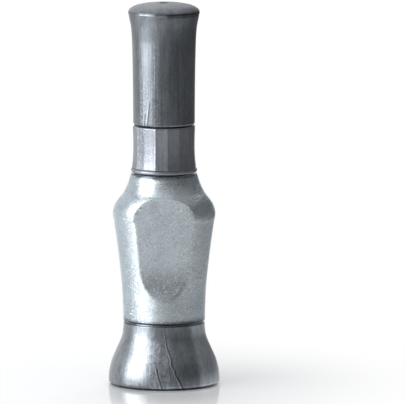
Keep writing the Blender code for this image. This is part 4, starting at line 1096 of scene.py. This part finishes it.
class PEN_OT_brush(bpy.types.Operator):
    """Makes the stem of the brush, its anchor wire and its hairs"""
    bl_idname = "pen.brush"
    bl_label = "Brush"

    def execute(self, context):
        redraw("brush_stem", "stem", "applicator", "natural_plastic")
        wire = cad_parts["bristle_anchor"]
        wire.data.materials.clear()
        wire.data.materials.append(material_of("anchor_brass"))
        self.make_hairs()
        return {'FINISHED'}

    def make_hairs(self):
        """Hairs on a sunflower spiral: hair i stands at the root of (i + 0.5) / n of the tuft's
        radius and at i golden turns, and all keep that share of the radius all along, so that none
        cross. The tuft's radius swells and shrinks along a smooth curve; each hair tapers to its own
        end level."""
        low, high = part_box("bristles")
        count = sizes().strand_count
        stem_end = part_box("stem")[0].z
        levels = -np.array((high.z, stem_end, low.z + BELLY_SHARE * (stem_end - low.z), low.z))
        share = np.linspace(0, 1, HAIR_LEVELS)
        index = np.arange(count)
        out = FILLED_SHARE * np.sqrt((index + 0.5) / count)
        turn = index * math.tau * (3 - math.sqrt(5)) / 2
        shorter = SHORTER_SHARES[0] * (index * GOLDEN_SHARE % 1) + SHORTER_SHARES[1] * out
        level = high.z + (low.z - high.z) * share[None, :] * (1 - shorter[:, None])
        straight = np.interp(-level, levels, TUFT_RADII)
        tuft = (straight + np.roll(straight, 1, axis=1) + np.roll(straight, -1, axis=1)) / 3
        tuft[:, [0, -1]] = straight[:, [0, -1]]
        thick = (HAIR_SHARE / math.sqrt(count) * tuft * np.interp(share, *HAIR_TAPER))[..., None]
        side = around(HAIR_SIDES)
        x = (tuft * out[:, None] * np.cos(turn)[:, None])[..., None]
        y = (tuft * out[:, None] * np.sin(turn)[:, None])[..., None]
        points = np.stack((x + thick * np.cos(side), y + thick * np.sin(side),
                           np.repeat(level[..., None], HAIR_SIDES, -1)), -1).reshape(-1, 3)
        ring = grid_faces(HAIR_LEVELS, HAIR_SIDES)[:, ::-1]
        start = (index * HAIR_LEVELS * HAIR_SIDES)[:, None]
        sides = (ring[None] + start[..., None]).reshape(-1, 4)
        root = start + np.arange(HAIR_SIDES)
        tip = root[:, ::-1] + (HAIR_LEVELS - 1) * HAIR_SIDES
        piece = make_mesh("brush_hairs", points, [sides, tip, root])
        finished(piece, "applicator", "bristle_nylon", "bristles")


class PEN_OT_cap(bpy.types.Operator):
    """Makes the long cap, the sleeve inside it and the plug for the needle"""
    bl_idname = "pen.cap"
    bl_label = "Cap"

    def execute(self, context):
        self.make_cap()
        redraw("cap_sleeve", "cap_liner", "cap", "white_plastic")
        redraw("needle_plug", "needle_seal", "cap", "plug_rubber")
        return {'FINISHED'}

    def make_cap(self):
        """The cap's outline with a crisp rim, which stands out by the height of the rim lip in a
        smooth band as wide as its edge."""
        outline, line = fine_line("cap_shell", CAP_PART, steps=FINE_CURVE_STEPS,
                                  corner_turn=RIM_TURN)
        rim_radius, rim_level = outline[outline[:, 0].argmax()]

        def shape(radius, level, angle):
            above = np.abs(level - rim_level) / (LIP_BAND_SHARE * sizes().moulded_edge)
            lip = sizes().rim_lip * (1 - ramp(above, LIP_FULL_SHARE, 1.0))
            return radius + np.where(radius > HEAD_SHARE * rim_radius, lip, 0.0)

        finished(turned("long_cap", line, around(ROUND), shape), "cap", "pewter_plastic", "cap_shell")


# Camera: its distance and height, what it looks at, and the width that it sees there
CAMERA_DISTANCE = 2.2
CAMERA_HEIGHT = 0.3485
AIM = Vector((0.0099, 0.0, 0.0477))
VIEW_WIDTH = 0.1054
SENSOR = 36.0
CLIP = (0.05, 50.0)
# Floor: its radius, its rings and its mottle, how far from the pen it goes from plain to white for
# the camera, where and how far off mirrored rays see the room in its place, a painted pool of light
# that glows for mirrored rays alone, and how much it shines, to other rays and to mirrored ones
FLOOR_RADIUS = 3.0
FIRST_RING, RING_COUNT = 0.01, 24
FLOOR_MOTTLE, FLOOR_TONES = 60.0, (0.99, 1.01)
PLAIN_REACH = (0.015, 0.08)
ROOM_PLACE, ROOM_REACH = (-0.20, -0.10, 0.0), (0.30, 0.50)
PAINTED_POOL_PLACE, PAINTED_POOL_REACH, PAINTED_POOL_LEVEL = (-0.135, -0.08, 0.0), (0.05, 0.12), 1.2
MIRRORED_SHINE = (0.5, 0.05)
# Room in reflections: azimuth in degrees and level all round, and the ceiling, as a range of the
# ray's rise with the level at either end. Then the even light that all other rays get
ROOM_LEVELS = ((-180, 0.95), (180, 0.90), (-150, 1.0), (-128, 0.95), (-110, 0.46), (-96, 0.50),
               (-40, 0.34), (-5, 0.24), (50, 0.10), (100, 0.15), (150, 0.15), (172, 0.60))
CEILING = (0.15, 0.85, 0.0, 0.42)
EVEN_LIGHT = 0.6
# Lamps: azimuth and elevation in degrees, distance, height that it looks at, width and height, watts
LAMPS = {
    "tall_softbox": (-66, 0, 0.40, 0.28, (0.43, 0.56), 4.7),
    "low_softbox": (-66, 0, 0.40, 0.086, (0.43, 0.16), 1.35),
    "left_glow": (-66, 0, 0.40, 0.28, (0.40, 0.56), 1.1),
    "top_glow": (-20, 72, 0.80, 0.05, (0.60, 0.60), 1.0),
    "back_glow": (172, 48, 0.60, 0.02, (0.40, 0.40), 1.6),
}
LAMP_COLOUR = (0.94, 0.97, 1.0)
# Shares of a softbox's width and height over which it fades at each edge, and what the low one lights
FADE_SHARES = (0.22, 0.08)
CAP_PIECES = ("long_cap", "cap_sleeve", "needle_plug")


def look_at(item, place, target):
    """Puts a lamp or camera at a place and turns it to look at a target."""
    item.location = place
    item.rotation_euler = (target - place).to_track_quat('-Z', 'Y').to_euler()


class PEN_OT_stage(bpy.types.Operator):
    """Sets the pale floor, the soft light and the camera"""
    bl_idname = "pen.stage"
    bl_label = "Stage"

    def execute(self, context):
        floor = self.make_floor()
        self.make_world()
        pieces = [item for item in context.scene.objects if item.type == 'MESH' and item != floor]
        cap = [item for item in pieces if item.name in CAP_PIECES]
        rest = [item for item in pieces if item not in cap]
        lit = {"tall_softbox": rest, "low_softbox": cap}
        for name, settings in LAMPS.items():
            lamp = self.make_lamp(name, *settings)
            if name in lit:
                lamp.visible_diffuse = False
                self.soften(lamp.data)
                self.light_only(lamp, lit[name])
            else:
                lamp.visible_glossy = False
        self.make_camera()
        context.scene.view_settings.view_transform = 'Standard'
        return {'FINISHED'}

    def make_floor(self):
        """A flat disc: rings of points at radii that grow by an equal factor."""
        angles = around(SMALL_ROUND)
        radius = np.repeat(np.geomspace(FIRST_RING, FLOOR_RADIUS, RING_COUNT)[:, None], SMALL_ROUND, 1)
        points = np.stack((radius * np.cos(angles), radius * np.sin(angles), 0 * radius), -1)
        points = np.vstack((points.reshape(-1, 3), (0, 0, 0)))
        rows = grid_faces(RING_COUNT, SMALL_ROUND)[:, ::-1]
        hub = fan_faces(len(points) - 1, 0, SMALL_ROUND)
        floor = make_mesh("floor", points, [rows, hub])
        self.dress_floor(floor)
        return floor

    def dress_floor(self, floor):
        """Pale to the camera round the pen, and white farther off. Mirrored rays see it dull, with a
        painted pool of light that glows for them alone, and far off the room in its place."""
        material = bpy.data.materials.new("pale_floor")
        wiring = Wiring(material)
        camera, mirrored = wiring.rays()
        # Painted light: a pool of light that glows on the floor for mirrored rays alone
        glow = wiring.spread(wiring.away_from(PAINTED_POOL_PLACE), *PAINTED_POOL_REACH, PAINTED_POOL_LEVEL, 0.0)
        wiring.set(
            Base_Color=wiring.tones(wiring.noise(FLOOR_MOTTLE), colours().floor, *FLOOR_TONES),
            Roughness=0.07, IOR=2.5,
            Specular_IOR_Level=wiring.spread(mirrored, 0.0, 1.0, *MIRRORED_SHINE),
            Emission_Color=WHITE, Emission_Strength=wiring.times(mirrored, glow))
        seen = wiring.times(camera, wiring.spread(wiring.away_from(), *PLAIN_REACH))
        far = wiring.times(mirrored, wiring.spread(wiring.away_from(ROOM_PLACE), *ROOM_REACH))
        white = wiring.node("ShaderNodeEmission", {
            "Color": WHITE, "Strength": wiring.maths('MAXIMUM', camera, wiring.room(wiring.places()))})
        surface = wiring.node("ShaderNodeMixShader", {
            0: wiring.maths('MAXIMUM', seen, far), 1: wiring.shader.outputs[0], 2: white[0]})
        wiring.put(wiring.tree.nodes["Material Output"].inputs["Surface"], surface[0])
        floor.data.materials.append(material)

    def make_world(self):
        """White to the camera. In reflections and through the clear wall the room shows its own
        levels all round and a grey ceiling. All else gets a low even light."""
        world = bpy.data.worlds.new("studio")
        bpy.context.scene.world = world
        wiring = Wiring(world, "Background")
        direction = wiring.node("ShaderNodeTexCoord")["Generated"]
        rise = wiring.round_the_axis(direction)[1]
        room = wiring.maths('MAXIMUM', wiring.room(direction), wiring.spread(rise, *CEILING))
        camera, mirrored = wiring.rays()
        wiring.set(Color=WHITE,
                   Strength=wiring.mix(camera, wiring.mix(mirrored, EVEN_LIGHT, room), 1.0))

    def make_lamp(self, name, azimuth, elevation, distance, height, size, watts):
        """A soft rectangular lamp that looks at a height on the pen's axis. Its azimuth goes from
        the camera's side towards +X."""
        data = bpy.data.lights.new(name, 'AREA')
        data.shape = 'RECTANGLE'
        data.size, data.size_y = size
        data.energy = watts
        data.color = LAMP_COLOUR
        lamp = placed(name, data)
        turn, rise = radians(azimuth, elevation)
        target = Vector((0, 0, height))
        away = Vector((math.sin(turn) * math.cos(rise), -math.cos(turn) * math.cos(rise),
                       math.sin(rise)))
        look_at(lamp, target + distance * away, target)
        lamp.visible_camera = False
        return lamp

    def soften(self, lamp):
        """Lets a lamp fade smoothly towards its edges, as a box with a cloth front does."""
        wiring = Wiring(lamp, "Emission")
        parts = wiring.node("ShaderNodeSeparateXYZ", {
            0: wiring.node("ShaderNodeNewGeometry")["Parametric"]})
        levels = [wiring.spread(wiring.maths('MINIMUM', part, wiring.maths('SUBTRACT', 1.0, part)),
                                0.0, fade) for part, fade in zip(parts, FADE_SHARES)]
        wiring.set(Strength=wiring.times(*levels))

    def light_only(self, lamp, pieces):
        """Lets a lamp light some pieces only, so that its mirror image stays off the others."""
        lit = bpy.data.collections.new(lamp.name + "_lit")
        for piece in pieces:
            lit.objects.link(piece)
        lamp.light_linking.receiver_collection = lit

    def make_camera(self):
        """A long lens at the photograph's height and distance, aimed beside the pen."""
        data = bpy.data.cameras.new("camera")
        data.sensor_width = SENSOR
        data.lens = SENSOR * math.hypot(CAMERA_DISTANCE, CAMERA_HEIGHT - AIM.z) / VIEW_WIDTH
        data.clip_start, data.clip_end = CLIP
        camera = placed("camera", data)
        look_at(camera, Vector((AIM.x, -CAMERA_DISTANCE, CAMERA_HEIGHT)), AIM)
        bpy.context.scene.camera = camera


OPERATORS = (PEN_OT_base, PEN_OT_bottle, PEN_OT_collar, PEN_OT_nozzle, PEN_OT_brush, PEN_OT_cap,
             PEN_OT_stage)


class PEN_PT_sidebar(bpy.types.Panel):
    """Sizes, colours and steps of the nail art pen."""
    bl_idname = "PEN_PT_sidebar"
    bl_label = "Nail Art Pen"
    bl_space_type = 'VIEW_3D'
    bl_region_type = 'UI'
    bl_category = "Nail Art Pen"

    def draw(self, context):
        for title, group in (("Sizes", context.scene.pen_sizes),
                             ("Colours", context.scene.pen_colours)):
            box = self.layout.box()
            box.label(text=title)
            for name in type(group).__annotations__:
                box.prop(group, name)
        for step in OPERATORS:
            self.layout.operator(step.bl_idname)


CLASSES = (PenSizes, PenColours, *OPERATORS, PEN_PT_sidebar)


def register():
    """Registers the classes and gives the scene its sizes and colours."""
    for item in CLASSES:
        bpy.utils.register_class(item)
    bpy.types.Scene.pen_sizes = PointerProperty(type=PenSizes)
    bpy.types.Scene.pen_colours = PointerProperty(type=PenColours)


def unregister():
    """Takes the sizes, the colours and the classes away again."""
    del bpy.types.Scene.pen_colours
    del bpy.types.Scene.pen_sizes
    for item in reversed(CLASSES):
        bpy.utils.unregister_class(item)


def main():
    """Makes every piece and the stage."""
    register()
    for step in OPERATORS:
        group, name = step.bl_idname.split(".")
        getattr(getattr(bpy.ops, group), name)()


if __name__ == "__main__":
    main()
